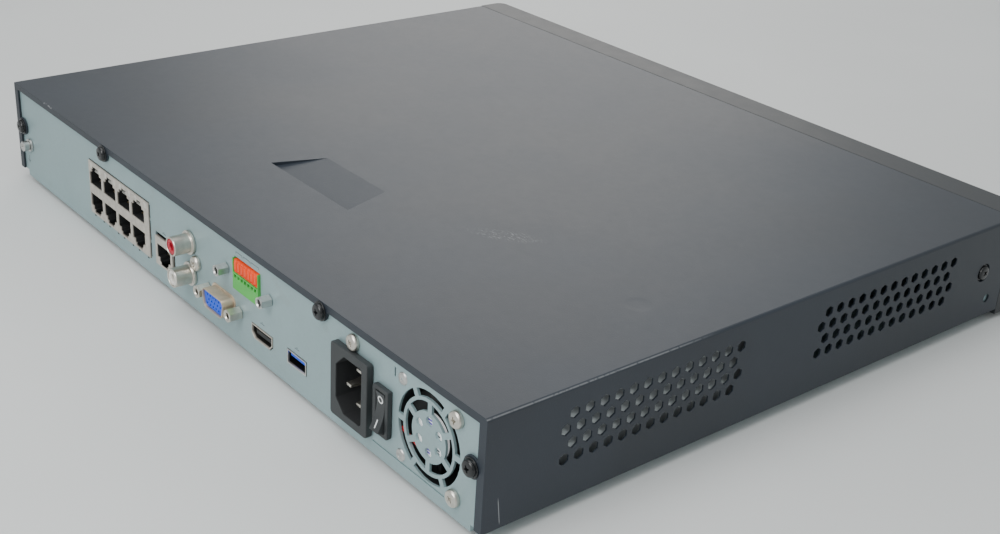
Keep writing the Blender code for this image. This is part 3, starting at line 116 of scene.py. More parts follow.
class Graph:
    """One material's node tree."""

    # The colour sockets of a Mix node.
    FACTOR, FIRST, SECOND, MIXED = 0, 6, 7, 2

    def __init__(self, name: str) -> None:
        """Starts a material with a bare Principled shader."""
        self.material = bpy.data.materials.new(name)
        self.material.use_nodes = True
        self.tree = self.material.node_tree
        self.shader = self.tree.nodes["Principled BSDF"]

    def node(self, kind: str, settings: dict, values: dict, output: str | int = 0) -> Signal:
        """Adds a node.

        Args:
            kind: The node's type.
            settings: Its properties, set before its sockets.
            values: Numbers, colours or signals, by socket name or number.
            output: Which output to return.

        Returns:
            The chosen output.
        """
        made = self.tree.nodes.new(kind)
        for key, value in settings.items():
            setattr(made, key, value)
        for key, value in values.items():
            self.feed(made.inputs[key], value)
        return Signal(self, made.outputs[output])

    def feed(self, socket: bpy.types.NodeSocket, value: object) -> None:
        """Links a signal to a socket, or sets a plain value on it."""
        if isinstance(value, Signal):
            self.tree.links.new(value.socket, socket)
        elif isinstance(value, tuple) and socket.type == "RGBA":
            socket.default_value = (*value, 1.0)
        else:
            socket.default_value = value

    def math(self, operation: str, *values: Signal | float) -> Signal:
        """Adds a Math node for these values."""
        return self.node("ShaderNodeMath", {"operation": operation}, dict(enumerate(values)))

    def place(self) -> Signal:
        """The surface's place, in the object's own metres."""
        return self.node("ShaderNodeTexCoord", {}, {}, "Object")

    def axes(self) -> tuple[Signal, Signal, Signal]:
        """The surface's place as three numbers."""
        x = self.node("ShaderNodeSeparateXYZ", {}, {"Vector": self.place()}, "X")
        outputs = x.socket.node.outputs
        return x, Signal(self, outputs["Y"]), Signal(self, outputs["Z"])

    def noise(self, grain: float, detail: float = 3.0, stretch: tuple = (1, 1, 1)) -> Signal:
        """A cloudy pattern.

        Args:
            grain: The size of its spots, in metres.
            detail: How many finer layers it has.
            stretch: How much denser it is along each axis.

        Returns:
            A value of about 0.5, from 0 to 1.
        """
        mapped = self.node("ShaderNodeMapping", {}, {"Vector": self.place(), "Scale": Vector(stretch)})
        return self.node("ShaderNodeTexNoise", {}, {"Vector": mapped, "Scale": 1 / grain, "Detail": detail})

    def cells(self, grain: float) -> Signal:
        """A pattern of cells of this size, in metres."""
        return self.node("ShaderNodeTexVoronoi", {}, {"Vector": self.place(), "Scale": 1 / grain}, "Distance")

    def blend(self, factor: Signal | float, first: Signal | Colour, second: Signal | Colour) -> Signal:
        """Mixes two colours."""
        values = {self.FACTOR: factor, self.FIRST: first, self.SECOND: second}
        return self.node("ShaderNodeMix", {"data_type": "RGBA"}, values, self.MIXED)

    def mottle(self, factor: Signal, colour: Colour, first: float, second: float) -> Signal:
        """Mixes two strengths of one colour."""
        return self.blend(factor, dimmed(colour, first), dimmed(colour, second))

    def sunken(self, deep: float) -> Signal:
        """How far behind the jack panel the surface lies: 0 at the panel, 1 at this depth and beyond."""
        return self.axes()[1].rise(PANEL_Y - 0.1 * MM, PANEL_Y - deep)

    def bump(self, height: Signal, depth: float, below: Signal | None = None) -> Signal:
        """Turns a height from 0 to 1 into a surface direction.

        Args:
            height: The pattern.
            depth: What a height of 1 stands for, in metres.
            below: A coarser bump that this one lies on.

        Returns:
            The surface direction.
        """
        lower = {"Normal": below} if below else {}
        return self.node("ShaderNodeBump", {}, {"Height": height, "Distance": depth, **lower})

    def set(self, **values: object) -> Material:
        """Feeds the shader's sockets, named with underscores for spaces, and returns the material."""
        for key, value in values.items():
            self.feed(self.shader.inputs[key.replace("_", " ")], value)
        return self.material


# Finishes


def dimmed(colour: Colour, strength: float) -> Colour:
    """A colour at another strength."""
    return tuple(part * strength for part in colour)


class Tone(Enum):
    """The colours of the moulded plastics and inks."""

    BLACK = (0.010, 0.011, 0.012)
    SLATE = (0.030, 0.034, 0.036)
    CHARCOAL = (0.024, 0.028, 0.032)
    RED = (0.46, 0.012, 0.03)
    RED_WIRE = (0.55, 0.01, 0.01)
    CREAM = (0.76, 0.74, 0.68)
    BLUE = (0.006, 0.09, 0.75)
    ORANGE = (1.0, 0.075, 0.004)
    GREEN = (0.08, 0.48, 0.08)
    WHITE = (0.78, 0.80, 0.80)
    GREY = (0.34, 0.34, 0.32)
    INK = (0.10, 0.12, 0.13)
    VIOLET = (0.16, 0.10, 0.55)


@dataclass(frozen=True)
class CoverCoat:
    """Blue-black powder coat on the cover, with one rubbed edge, a few nicks, scuffs and dents."""

    colour: Colour = (0.015, 0.021, 0.030)
    bare: Colour = (0.52, 0.53, 0.54)
    edge: float = 0.7 * MM
    rubbed: float = 0.110
    scuff: Point = (-0.083, 0.058)
    dents: tuple[Triple, ...] = ((-0.155, 0.055, 6 * MM), (0.184, 0.108, 7 * MM))
    nicks: Point = (0.141, 0.152)
    scratch: Point = (0.1421, 0.1435)

    def build(self) -> Material:
        """Makes the material."""
        graph = Graph("cover_coat")
        low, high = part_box("top_cover")
        x, y, z = graph.axes()
        cloud = graph.noise(70 * MM, 3)
        speckle = graph.noise(1.4 * MM, 4)
        near_side = (x * -1.0).rise(-low.x - self.edge, -low.x - self.edge * 0.2)
        near_top = z.rise(high.z - self.edge, high.z - self.edge * 0.2)
        near_rear = y.rise(high.y - self.edge, high.y - self.edge * 0.2)
        along = y.rise(high.y - self.rubbed, high.y - self.rubbed * 0.7)
        worn = near_side * near_top * along * speckle.rise(0.24, 0.52) * 0.7
        span = x.rise(self.nicks[0], self.nicks[0] + 2 * MM) * x.rise(self.nicks[1], self.nicks[1] - 2 * MM)
        worn = worn.larger(near_rear * near_top * span * speckle.rise(0.52, 0.60) * 0.8)
        worn = worn.larger(self._scratch(y, z, low.z) * near_side)
        on_top = z.rise(high.z - 0.5 * MM, high.z - 0.2 * MM)
        dusty = graph.noise(0.45 * MM, 2).rise(0.66, 0.76) * 0.05
        pale = (dusty + self._scuffs(graph, x, y) * on_top * 0.22).smaller(1.0)
        base = graph.mottle(cloud.rise(0.35, 0.65), self.colour, 1.0, 1.25)
        base = graph.blend(pale.larger(worn).smaller(1.0), base, self.bare)
        hollow = self._hollows(x, y) * on_top
        coarse = graph.bump(graph.noise(45 * MM, 1) * 0.35 - hollow * 0.16, 0.5 * MM)
        normal = graph.bump(graph.noise(0.5 * MM, 2) - worn * 0.8, 0.03 * MM, coarse)
        rough = 0.43 + cloud * 0.06 + graph.noise(4 * MM, 4) * 0.05 - worn * 0.1
        return graph.set(Base_Color=base, Roughness=rough, Metallic=worn * 0.8, Normal=normal)

    def _scratch(self, y: Signal, z: Signal, bottom: float) -> Signal:
        """A thin upright scratch on the side near the rear corner."""
        drift = (z - bottom) * 0.12
        line = abs(y - self.scratch[0] - drift).rise(0.22 * MM, 0.08 * MM)
        return line * z.rise(bottom + 1 * MM, bottom + 3 * MM) * z.rise(bottom + 13 * MM, bottom + 10 * MM) * 0.6

    def _hollows(self, x: Signal, y: Signal) -> Signal:
        """Shallow dents, each deepest in its middle."""
        total: Signal | float = 0.0
        for at_x, at_y, radius in self.dents:
            dx, dy = x - at_x, y - at_y
            total = (dx * dx + dy * dy).rise(radius**2, 0.0) + total
        return total

    def _scuffs(self, graph: Graph, x: Signal, y: Signal) -> Signal:
        """Pale rubbed streaks in a long patch on the top."""
        along = (x - self.scuff[0]) * 0.8 + (y - self.scuff[1]) * 0.6
        across = (y - self.scuff[1]) * 0.8 - (x - self.scuff[0]) * 0.6
        patch = (along * along * 0.10 + across * across).rise((6 * MM) ** 2, (1 * MM) ** 2)
        return patch * graph.noise(0.5 * MM, 3, (0.25, 1.0, 1.0)).rise(0.52, 0.72)


@dataclass(frozen=True)
class ZincSheet:
    """Pale passivated zinc on folded steel."""

    name: str = "zinc_sheet"
    colour: Colour = (0.315, 0.430, 0.445)
    metal: float = 0.30
    rough: float = 0.42
    smudge: Colour = (0.26, 0.28, 0.27)

    def build(self) -> Material:
        """Makes the material."""
        graph = Graph(self.name)
        cloud = graph.noise(28 * MM, 4)
        fine = graph.noise(1.3 * MM, 4)
        roll = graph.noise(0.7 * MM, 3, (0.05, 1.0, 1.0))
        shade = (cloud.rise(0.3, 0.7) * 0.6 + fine.rise(0.3, 0.7) * 0.4) * 0.55
        base = graph.mottle(shade, self.colour, 0.90, 1.07)
        base = graph.blend(graph.noise(9 * MM, 5).rise(0.60, 0.76) * 0.22, base, self.smudge)
        normal = graph.bump(fine * 0.5 + roll * 0.5, 0.012 * MM)
        rough = self.rough + cloud * 0.10 + fine * 0.05
        return graph.set(Base_Color=base, Roughness=rough, Metallic=self.metal, Normal=normal)


@dataclass(frozen=True)
class Plated:
    """A bright plated metal, with handling marks, and painted shade behind the jack panel where it lines a socket."""

    name: str
    colour: Colour
    rough: float = 0.24
    metal: float = 1.0
    # Whether to paint shade on the metal behind the jack panel, where it lines a socket.
    socket: bool = False

    def build(self) -> Material:
        """Makes the material; where it lines a socket, painted shade darkens it behind the panel."""
        graph = Graph(self.name)
        cloud = graph.noise(2.5 * MM, 4)
        scratch = graph.noise(0.35 * MM, 3, (1.0, 0.15, 0.4))
        base = graph.mottle(cloud.rise(0.3, 0.75) * 0.6, self.colour, 1.0, 0.72)
        # Painted shade: behind the jack panel the metal fades to a twentieth of its colour, as if in the socket's
        # shadow.
        if self.socket:
            base = graph.blend(graph.sunken(0.7 * MM), base, dimmed(self.colour, 0.05))
        rough = self.rough + cloud * 0.12 + scratch * 0.06
        normal = graph.bump(scratch, 0.01 * MM)
        return graph.set(Base_Color=base, Roughness=rough, Metallic=self.metal, Normal=normal)


@dataclass(frozen=True)
class Moulding:
    """A moulded plastic with a fine spark-eroded grain."""

    tone: Tone
    rough: float = 0.42
    grain: float = 0.25 * MM
    relief: float = 0.012 * MM
    glow: float = 0.0
    dust: Colour = (0.5, 0.5, 0.48)

    def build(self) -> Material:
        """Makes the material."""
        graph = Graph(f"moulding_{self.tone.name.lower()}_{int(self.rough * 100)}")
        # Emission at strength glow is painted light: the part shines as if lit, though it is no lamp.
        graph.set(Emission_Color=self.tone.value, Emission_Strength=self.glow)
        cloud = graph.noise(8 * MM, 4)
        spark = graph.noise(self.grain, 2)
        dusty = graph.noise(0.6 * MM, 4).rise(0.64, 0.78) * 0.06
        base = graph.mottle(cloud.rise(0.3, 0.7) * 0.6, self.tone.value, 0.86, 1.12)
        base = graph.blend(dusty, base, self.dust)
        rough = self.rough + cloud * 0.10 + spark * 0.06
        return graph.set(Base_Color=base, Roughness=rough, Normal=graph.bump(spark, self.relief))


@dataclass(frozen=True)
class Laminate:
    """Circuit board: green mask with faint copper tracks below it."""

    mask: Colour = (0.004, 0.055, 0.020)
    track: Colour = (0.010, 0.115, 0.045)
    solder: Colour = (0.65, 0.64, 0.58)

    def build(self) -> Material:
        """Makes the material."""
        graph = Graph("laminate")
        tracks = graph.cells(3.0 * MM).rise(0.30, 0.42)
        cloud = graph.noise(5 * MM, 3)
        base = graph.blend(tracks, self.mask, self.track)
        base = graph.blend(cloud.rise(0.68, 0.75) * 0.8, base, self.solder)
        return graph.set(Base_Color=base, Roughness=0.30 + cloud * 0.15, Normal=graph.bump(tracks, 0.03 * MM))


@dataclass(frozen=True)
class Cloudy:
    """A plain material whose colour and roughness drift together."""

    name: str
    first: Colour
    second: Colour
    grain: float
    detail: float
    span: Point
    rough: Point
    weight: float = 1.0
    relief: float = 0.0

    def build(self) -> Material:
        """Makes the material."""
        graph = Graph(self.name)
        cloud = graph.noise(self.grain, self.detail)
        base = graph.blend(cloud.rise(*self.span) * self.weight, self.first, self.second)
        if self.relief:
            graph.set(Normal=graph.bump(cloud, self.relief))
        least, more = self.rough
        return graph.set(Base_Color=base, Roughness=least + cloud * more)


@cache
def coated(finish: object) -> Material:
    """The material of a finish, made the first time that it is asked for."""
    return finish.build()


RUBBER = Cloudy("rubber", (0.014,) * 3, (0.040, 0.039, 0.037), 3 * MM, 4, (0.35, 0.7), (0.78, 0.12), relief=0.04 * MM)
WINDOW = Cloudy("smoked_window", (0.006, 0.006, 0.008), (0.020, 0.020, 0.024), 4 * MM, 4, (0.4, 0.7), (0.07, 0.08), 0.5)
BACKDROP = Cloudy("backdrop", (0.62, 0.635, 0.63), (0.66, 0.675, 0.67), 0.25, 3, (0.3, 0.7), (0.55, 0.1))
NICKEL = Plated("nickel", (0.70, 0.67, 0.60))
# SOCKET_NICKEL and TIN carry painted shade behind the jack panel.
SOCKET_NICKEL = Plated("socket_nickel", (0.72, 0.70, 0.66), 0.28, 0.9, True)
TAN_SHELL = Plated("tan_shell", (0.60, 0.50, 0.38), 0.34, 0.7)
TIN = Plated("tin_shield", (0.60, 0.56, 0.50), 0.34, 0.6, True)
LEAF = Plated("leaf_spring", (0.80, 0.77, 0.70), 0.22)
STEEL_POST = Plated("zinc_post", (0.62, 0.62, 0.60), 0.26)
GOLD = Plated("gold_contact", (0.78, 0.56, 0.22), 0.22)
BLACK_OXIDE = Plated("black_oxide", (0.006, 0.007, 0.008), 0.14, 0.0)
CAST = Plated("cast_alloy", (0.55, 0.56, 0.57), 0.38)
SUPPLY_ZINC = ZincSheet("supply_zinc", (0.60, 0.64, 0.65), 0.55, 0.34)


# Shaping


def mesh_of(shape: Shape, name: str = "part") -> bpy.types.Mesh:
    """A mesh from a shape, which is freed."""
    mesh = bpy.data.meshes.new(name)
    shape.to_mesh(mesh)
    shape.free()
    return mesh


def as_piece(name: str, shape: Shape, finish: object, smooth: float = 35.0) -> Piece:
    """Turns a bmesh into an object at the origin.

    Args:
        name: The piece's name.
        shape: Its shape in world places, which is freed.
        finish: Its finish.
        smooth: The angle in degrees past which an edge is sharp.

    Returns:
        The piece.
    """
    mesh = mesh_of(shape, name)
    mesh.shade_smooth()
    mesh.set_sharp_from_angle(angle=radians(smooth))
    mesh.materials.append(coated(finish))
    piece = bpy.data.objects.new(name, mesh)
    bpy.context.scene.collection.objects.link(piece)
    return piece


def settle(piece: Piece, body: str, *nodes: str) -> Piece:
    """Makes a piece ride on a body and stand for CAD nodes."""
    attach(piece, body)
    if nodes:
        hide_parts(*nodes)
    LOG.info("%s rides on %s and stands for %s", piece.name, body, ", ".join(nodes) or "itself")
    return piece


def add(
    name: str, shape: Shape, finish: object, *nodes: str, at: Matrix = UNMOVED, body: str = ROOT, smooth: float = 30.0
) -> None:
    """Makes a piece from a shape and settles it.

    Args:
        name: The piece's name.
        shape: Its shape, or a list of shapes.
        finish: Its finish.
        nodes: The CAD nodes that it stands for.
        at: From the shape's places to world places.
        body: The body that it rides on.
        smooth: The angle in degrees past which an edge is sharp.
    """
    whole = together(shape) if isinstance(shape, list) else shape
    settle(as_piece(name, moved(whole, at), finish, smooth), body, *nodes)


def mm(*points: Point) -> list[Point]:
    """Points given in millimetres, in metres."""
    return [(x * MM, y * MM) for x, y in points]


def turned(profile: list[Point], steps: int = 48) -> Shape:
    """A turned shape about local Z.

    Args:
        profile: Points of (radius, height). The ends are on the axis, or the profile is closed.
        steps: Flats round the turn.

    Returns:
        The shape.
    """
    shape = bmesh.new()
    verts = [shape.verts.new((radius, 0, height)) for radius, height in profile]
    edges = [shape.edges.new(pair) for pair in zip(verts, verts[1:])]
    whole = {"cent": (0, 0, 0), "axis": (0, 0, 1), "angle": 2 * pi, "steps": steps}
    bmesh.ops.spin(shape, geom=verts + edges, use_merge=True, use_duplicate=False, **whole)
    bmesh.ops.remove_doubles(shape, verts=shape.verts, dist=0.002 * MM)
    bmesh.ops.recalc_face_normals(shape, faces=shape.faces)
    return shape


def bevelled(shape: Shape, width: float, segments: int = 2, angle: float = 30.0) -> Shape:
    """Rounds every edge sharper than an angle in degrees."""
    shape.normal_update()
    sharp = [e for e in shape.edges if len(e.link_faces) == 2 and e.calc_face_angle(0) > radians(angle)]
    how = {"profile": 0.5, "affect": "EDGES", "clamp_overlap": True, "material": -1}
    bmesh.ops.bevel(shape, geom=sharp, offset=width, segments=segments, **how)
    return shape


def slab(low: tuple, high: tuple, round_edge: float = 0.0) -> Shape:
    """A block between two corners, with rounded edges."""
    shape = bmesh.new()
    bmesh.ops.create_cube(shape, size=1)
    bmesh.ops.scale(shape, vec=[b - a for a, b in zip(low, high)], verts=shape.verts)
    bmesh.ops.translate(shape, vec=[(a + b) / 2 for a, b in zip(low, high)], verts=shape.verts)
    return bevelled(shape, round_edge) if round_edge else shape


def strip(x: float, half: float, y: Point, z: Point, round_edge: float = 0.0) -> Shape:
    """A block about a place across, from one y to another and one z to another."""
    return slab((x - half, y[0], z[0]), (x + half, y[1], z[1]), round_edge)


def about(centre: float, below: float, above: float | None = None) -> Point:
    """Two ends round a middle, the same way off or not."""
    return centre - below, centre + (below if above is None else above)


def bar(radius: float, low: float, high: float, sides: int = 24, tip: float | None = None) -> Shape:
    """A round or many-sided bar along local Z, which may taper to another radius."""
    shape = bmesh.new()
    ends = {"radius1": radius, "radius2": radius if tip is None else tip, "depth": high - low}
    at = Matrix.Translation((0, 0, (low + high) / 2))
    bmesh.ops.create_cone(shape, cap_ends=True, segments=sides, matrix=at, **ends)
    return shape


def plate(outline: list[Point], low: float, high: float) -> Shape:
    """A flat outline given thickness along local Z."""
    shape = bmesh.new()
    face = shape.faces.new([shape.verts.new((x, y, low)) for x, y in outline])
    raised = bmesh.ops.extrude_face_region(shape, geom=[face])["geom"]
    top = [item for item in raised if isinstance(item, bmesh.types.BMVert)]
    bmesh.ops.translate(shape, vec=(0, 0, high - low), verts=top)
    bmesh.ops.recalc_face_normals(shape, faces=shape.faces)
    return shape


def arc(centre: Point, radius: float, start: float, end: float, steps: int) -> list[Point]:
    """Points along an arc, with its angles in degrees."""
    angles = [radians(start + (end - start) * i / steps) for i in range(steps + 1)]
    return [(centre[0] + radius * cos(a), centre[1] + radius * sin(a)) for a in angles]


def moved(shape: Shape, matrix: Matrix) -> Shape:
    """Places a shape."""
    bmesh.ops.transform(shape, matrix=matrix, verts=shape.verts)
    return shape


def together(shapes: list[Shape]) -> Shape:
    """Puts several shapes in one, as separate bodies."""
    whole = bmesh.new()
    for shape in shapes:
        mesh = mesh_of(shape)
        whole.from_mesh(mesh)
        bpy.data.meshes.remove(mesh)
    return whole


def carved(*shapes: Shape) -> Shape:
    """The first shape with the others taken out of it."""
    made = [bpy.data.objects.new("carving", mesh_of(shape)) for shape in shapes]
    for item in made:
        bpy.context.scene.collection.objects.link(item)
    for tool in made[1:]:
        step = made[0].modifiers.new("carve", "BOOLEAN")
        step.operation = "DIFFERENCE"
        step.object = tool
    bpy.context.view_layer.update()
    left = bmesh.new()
    left.from_mesh(made[0].evaluated_get(bpy.context.evaluated_depsgraph_get()).to_mesh())
    for item in made:
        mesh = item.data
        bpy.data.objects.remove(item)
        bpy.data.meshes.remove(mesh)
    bmesh.ops.remove_doubles(left, verts=left.verts, dist=0.001 * MM)
    return left


def refined(
    node: str, width: float, finish: object, segments: int = 2, angle: float = 32.0, smooth: float = 35.0
) -> Piece:
    """A CAD node's own shape with its edges rounded, standing for that node.

    Args:
        node: The CAD node.
        width: The rounding's width.
        finish: Its finish.
        segments: Flats across the rounding.
        angle: The angle in degrees past which an edge is rounded.
        smooth: The angle in degrees past which an edge is sharp.

    Returns:
        The piece.
    """
    shape = bmesh.new()
    shape.from_mesh(frame["nodes"][node].data)
    bmesh.ops.remove_doubles(shape, verts=shape.verts, dist=0.002 * MM)
    bmesh.ops.dissolve_limit(shape, angle_limit=radians(0.4), verts=shape.verts, edges=shape.edges)
    piece = as_piece(node + "_surface", shape, finish, smooth)
    edges = piece.modifiers.new("edges", "BEVEL")
    edges.width = width
    edges.segments = segments
    edges.limit_method = "ANGLE"
    edges.angle_limit = radians(angle)
    edges.harden_normals = True
    body = next(name for name, nodes in frame["record"]["behaviour"]["bodies"].items() if node in nodes)
    return settle(piece, body, node)


# Places

REAR_TURN = Matrix(((-1, 0, 0, 0), (0, 0, 1, 0), (0, 1, 0, 0), (0, 0, 0, 1)))
FRONT_TURN = Matrix(((1, 0, 0, 0), (0, 0, -1, 0), (0, 1, 0, 0), (0, 0, 0, 1)))
RIVET_PROUD = 0.35 * MM
PANEL_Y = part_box("base_chassis")[1].y - RIVET_PROUD


def seat(x: float, y: float, z: float, turn: Matrix = REAR_TURN) -> Matrix:
    """A place on a face of the case: local X to the viewer's right, Y up and Z out of the face."""
    return Matrix.Translation((x, y, z)) @ turn


def middle(node: str) -> Vector:
    """The middle of a CAD node's box."""
    low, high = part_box(node)
    return (low + high) / 2


def panel_seat(node: str, x: float = 0.0, z: float = 0.0) -> Matrix:
    """A seat on the jack panel, at the middle of a CAD node or this far off along X and Z."""
    centre = middle(node)
    return seat(centre.x + x, PANEL_Y, centre.z + z)


def tip_seat(node: str) -> Matrix:
    """The seat on a CAD node's own rear end."""
    centre = middle(node)
    return seat(centre.x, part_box(node)[1].y, centre.z)


def reach_of(node: str) -> float:
    """How far a CAD node stands out of the jack panel."""
    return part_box(node)[1].y - PANEL_Y


def across(node: str) -> tuple[float, float]:
    """A CAD node's width and height."""
    low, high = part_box(node)
    return high.x - low.x, high.z - low.z


# Fasteners


@dataclass
class Screws:
    """Pan-head screws with a cross recess, and the smaller fasteners of the panel."""

    head: float = 3.25 * MM
    height: float = 2.0 * MM
    washer: float = 3.8 * MM
    recess: float = 1.75 * MM
    arm: float = 0.62 * MM
    stud: float = 2.5 * MM
    crown: tuple[Point, ...] = ((0, 1), (0.45, 0.99), (0.7, 0.95), (0.86, 0.86), (0.95, 0.70), (1, 0.45), (1, 0.2))

    def pan(self, washer: bool) -> Shape:
        """One screw head standing on local Z = 0, on a washer or not."""
        r, h, w = self.head, self.height, self.washer
        profile = [(out * r, up * h) for out, up in self.crown]
        profile += [(w - 0.1 * MM, 0.2 * h), (w, 0.15 * h), (w, 0.0)] if washer else [(r, 0.0)]
        tools = []
        for quarter in range(2):
            arm = strip(0, self.recess, about(0, self.arm / 2), about(h, 1.25 * MM, 1 * MM))
            for vert in arm.verts:
                if vert.co.z < h:
                    vert.co.x *= 0.45
            tools.append(moved(arm, Matrix.Rotation(pi / 2 * quarter, 4, "Z")))
        tools.append(bar(0.35 * MM, h - 1.4 * MM, h + 0.5 * MM, 12, 0.95 * MM))
        return bevelled(carved(turned([*profile, (0, 0)], 40), *tools), 0.05 * MM, 1, 40)

    def build(self) -> None:
        """Makes every screw, each turned a little differently."""
        washered, bare = self.pan(True), self.pan(False)
        dice = random.Random(7)
        for word in ("left", "right", "top_left", "top_right"):
            self._place(washered, f"cover_screw_rear_{word}", REAR_TURN, BLACK_OXIDE, dice)
        for name in ("audio_screw", "inlet_screw", "fan_screw_upper", "fan_screw_lower"):
            self._place(bare, name, REAR_TURN, NICKEL, dice)
        for side, word in ((1, "left"), (-1, "right")):
            turn = Matrix.Rotation(side * pi / 2, 4, "Y")
            self._place(washered, f"cover_screw_side_{word}", turn, BLACK_OXIDE, dice)
        washered.free()
        bare.free()
        self._ground()
        for kind, radius, bore, finish in (
            ("vga", 2.9 * MM, 1.35 * MM, NICKEL),
            ("terminal", 2.6 * MM, 1.5 * MM, STEEL_POST),
        ):
            for side in ("left", "right"):
                self._post(f"{kind}_post_{side}", radius, bore, finish)

    def _place(self, master: Shape, node: str, turn: Matrix, finish: Plated, dice: random.Random) -> None:
        """Puts a copy of the screw where a CAD screw is.

        Args:
            master: The screw's shape.
            node: The CAD screw.
            turn: Turns local Z out of the face.
            finish: Its finish.
            dice: Where its own turn comes from.
        """
        low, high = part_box(node)
        out = (turn @ Vector((0, 0, 1, 0))).to_3d()
        far = high if sum(out) > 0 else low
        tip = Vector(f if abs(o) > 0.5 else c for f, c, o in zip(far, middle(node), out))
        angle = Matrix.Rotation(radians(dice.uniform(10, 80)), 4, "Z")
        head = moved(master.copy(), Matrix.Translation(tip - out * self.height) @ turn @ angle)
        add(node + "_head", head, finish, node, smooth=28)

    def _ground(self) -> None:
        """The earthing stud: a stepped zinc nut with a dimpled end."""
        top, r = reach_of("ground_screw"), self.stud
        profile = [(0, top - 1.0 * MM), (0.9 * MM, top - 1.0 * MM), (1.1 * MM, top - 0.1 * MM), (0.82 * r, top)]
        profile += [(r, top - 0.4 * MM), (r, 1.9 * MM), (0.8 * r, 1.7 * MM), (0.8 * r, 1.4 * MM)]
        profile += [(1.25 * r, 1.2 * MM), (1.3 * r, 0.3 * MM), (0, 0.3 * MM)]
        at = panel_seat("ground_screw")
        add("ground_stud", turned(profile, 40), STEEL_POST, "ground_screw", at=at, smooth=28)

    def _post(self, node: str, radius: float, bore: float, finish: Plated) -> None:
        """A hexagonal jack post with a chamfered end and a threaded bore.

        Args:
            node: The CAD post.
            radius: Across its points, halved.
            bore: The bore's radius.
            finish: Its finish.
        """
        top = reach_of(node)
        inner, outer, past = radius * 0.86, radius * 1.3, top + 0.01 * MM
        cone = turned([(inner, past), (outer, past), (outer, top - radius * 0.3), (inner, past)])
        lead = bar(bore * 0.99, top - 0.5 * MM, top + 0.2 * MM, 24, bore * 1.35)
        nut = carved(bar(radius, 0.3 * MM, top, 6), cone, bar(bore, top - 4 * MM, top + 1 * MM), lead)
        add(node + "_nut", nut, finish, node, at=panel_seat(node))


# Sockets


@dataclass
class NetworkJacks:
    """Contacts, ledges and springs of the eight camera jacks and the network jack, with painted shadow beside the
    springs.
    """

    wires: int = 8
    wire_pitch: float = 1.02 * MM
    wire: float = 0.42 * MM
    wire_length: float = 8.4 * MM
    slant: float = 22.0
    ledge: Triple = (5.6 * MM, 1.6 * MM, 1.3 * MM)
    columns: int = 4
    # ink: the thickness of the black painted-shadow strips laid on the panel.
    ink: float = 0.04 * MM

    def build(self) -> None:
        """Dresses the shields and housings, and lays the contacts in every mouth."""
        for name in ("camera_jacks", "network_jack"):
            refined(name + "_shield", 0.18 * MM, TIN)
            refined(name + "_housing", 0.12 * MM, Moulding(Tone.BLACK, 0.5))
        gold, ledges = [], []
        wide, deep, tall = self.ledge
        for opening in frame["record"]["physics"]["openings"]:
            if not opening["name"].startswith(("camera_jack_", "network_jack")):
                continue
            low, high = (Vector(corner) for corner in opening["box_m"])
            notch_up = "lower" not in opening["name"]
            gold += self._contacts(low, high, notch_up)
            x, y = (low.x + high.x) / 2 + 1.5 * MM, high.y - 3.2 * MM
            z = high.z + (0.3 if notch_up else -1.0) * MM
            ledges.append(strip(x, wide / 2, (y, y + deep), about(z, tall / 2), 0.1 * MM))
        add("jack_ledges", ledges, Moulding(Tone.GREY, 0.4))
        add("jack_contacts", gold, GOLD)
        self._springs()

    def _contacts(self, low: Vector, high: Vector, notch_up: bool) -> list[Shape]:
        """Slanting wires in one mouth, on the side away from its notch.

        Args:
            low: The mouth's low corner.
            high: The mouth's high corner.
            notch_up: Whether the plug's catch is on top.

        Returns:
            The wires.
        """
        made = []
        base = low.z + 0.35 * MM if notch_up else high.z - 0.35 * MM
        way = 1 if notch_up else -1
        half = self.wire / 2
        for number in range(self.wires):
            x = (low.x + high.x) / 2 + (number - (self.wires - 1) / 2) * self.wire_pitch
            wire = strip(0, half, about(0, self.wire_length / 2), about(0, half))
            slant = Matrix.Rotation(radians(-self.slant * way), 4, "X")
            at = Matrix.Translation((x, low.y + 5.4 * MM, base + way * 1.7 * MM))
            made.append(moved(wire, at @ slant))
        return made

    def _springs(self) -> None:
        """Earthing springs pressed out of the camera jacks' shield, and black strips of painted shadow beside them and
        along the shield's edges.
        """
        low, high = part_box("camera_jacks_shield")
        strips, gap_shadows = [], []
        # printed: the thin layer on the panel where the painted shadow strips lie.
        printed = (PANEL_Y, PANEL_Y + self.ink)
        for number in range(self.columns):
            x = high.x - (number + 0.5) * (high.x - low.x) / self.columns
            for shift in (-4.4 * MM, 4.4 * MM):
                leaf = about(high.z - 1.9 * MM, 1.5 * MM, 1.3 * MM)
                strips.append(strip(x + shift, 1.0 * MM, about(high.y, 0.2 * MM, 0.1 * MM), leaf, 0.12 * MM))
                # Painted shadow: a black strip on the panel by each spring.
                gap_shadows.append(strip(x + shift, 0.7 * MM, printed, about(low.z - 1.1 * MM, 0.35 * MM)))
        # Painted shadow along the shield's left and top edges.
        for start, end in ((0.03, 0.26), (0.31, 0.66), (0.72, 0.97)):
            z = tuple(high.z - (high.z - low.z) * part for part in (end, start))
            gap_shadows.append(strip(low.x - 0.35 * MM, 0.35 * MM, printed, z))
        gap_shadows.append(slab((low.x, printed[0], high.z), (high.x, printed[1], high.z + 0.45 * MM)))
        add("shield_springs", strips, LEAF)
        add("shield_gap_shadows", gap_shadows, Moulding(Tone.BLACK, 0.6))


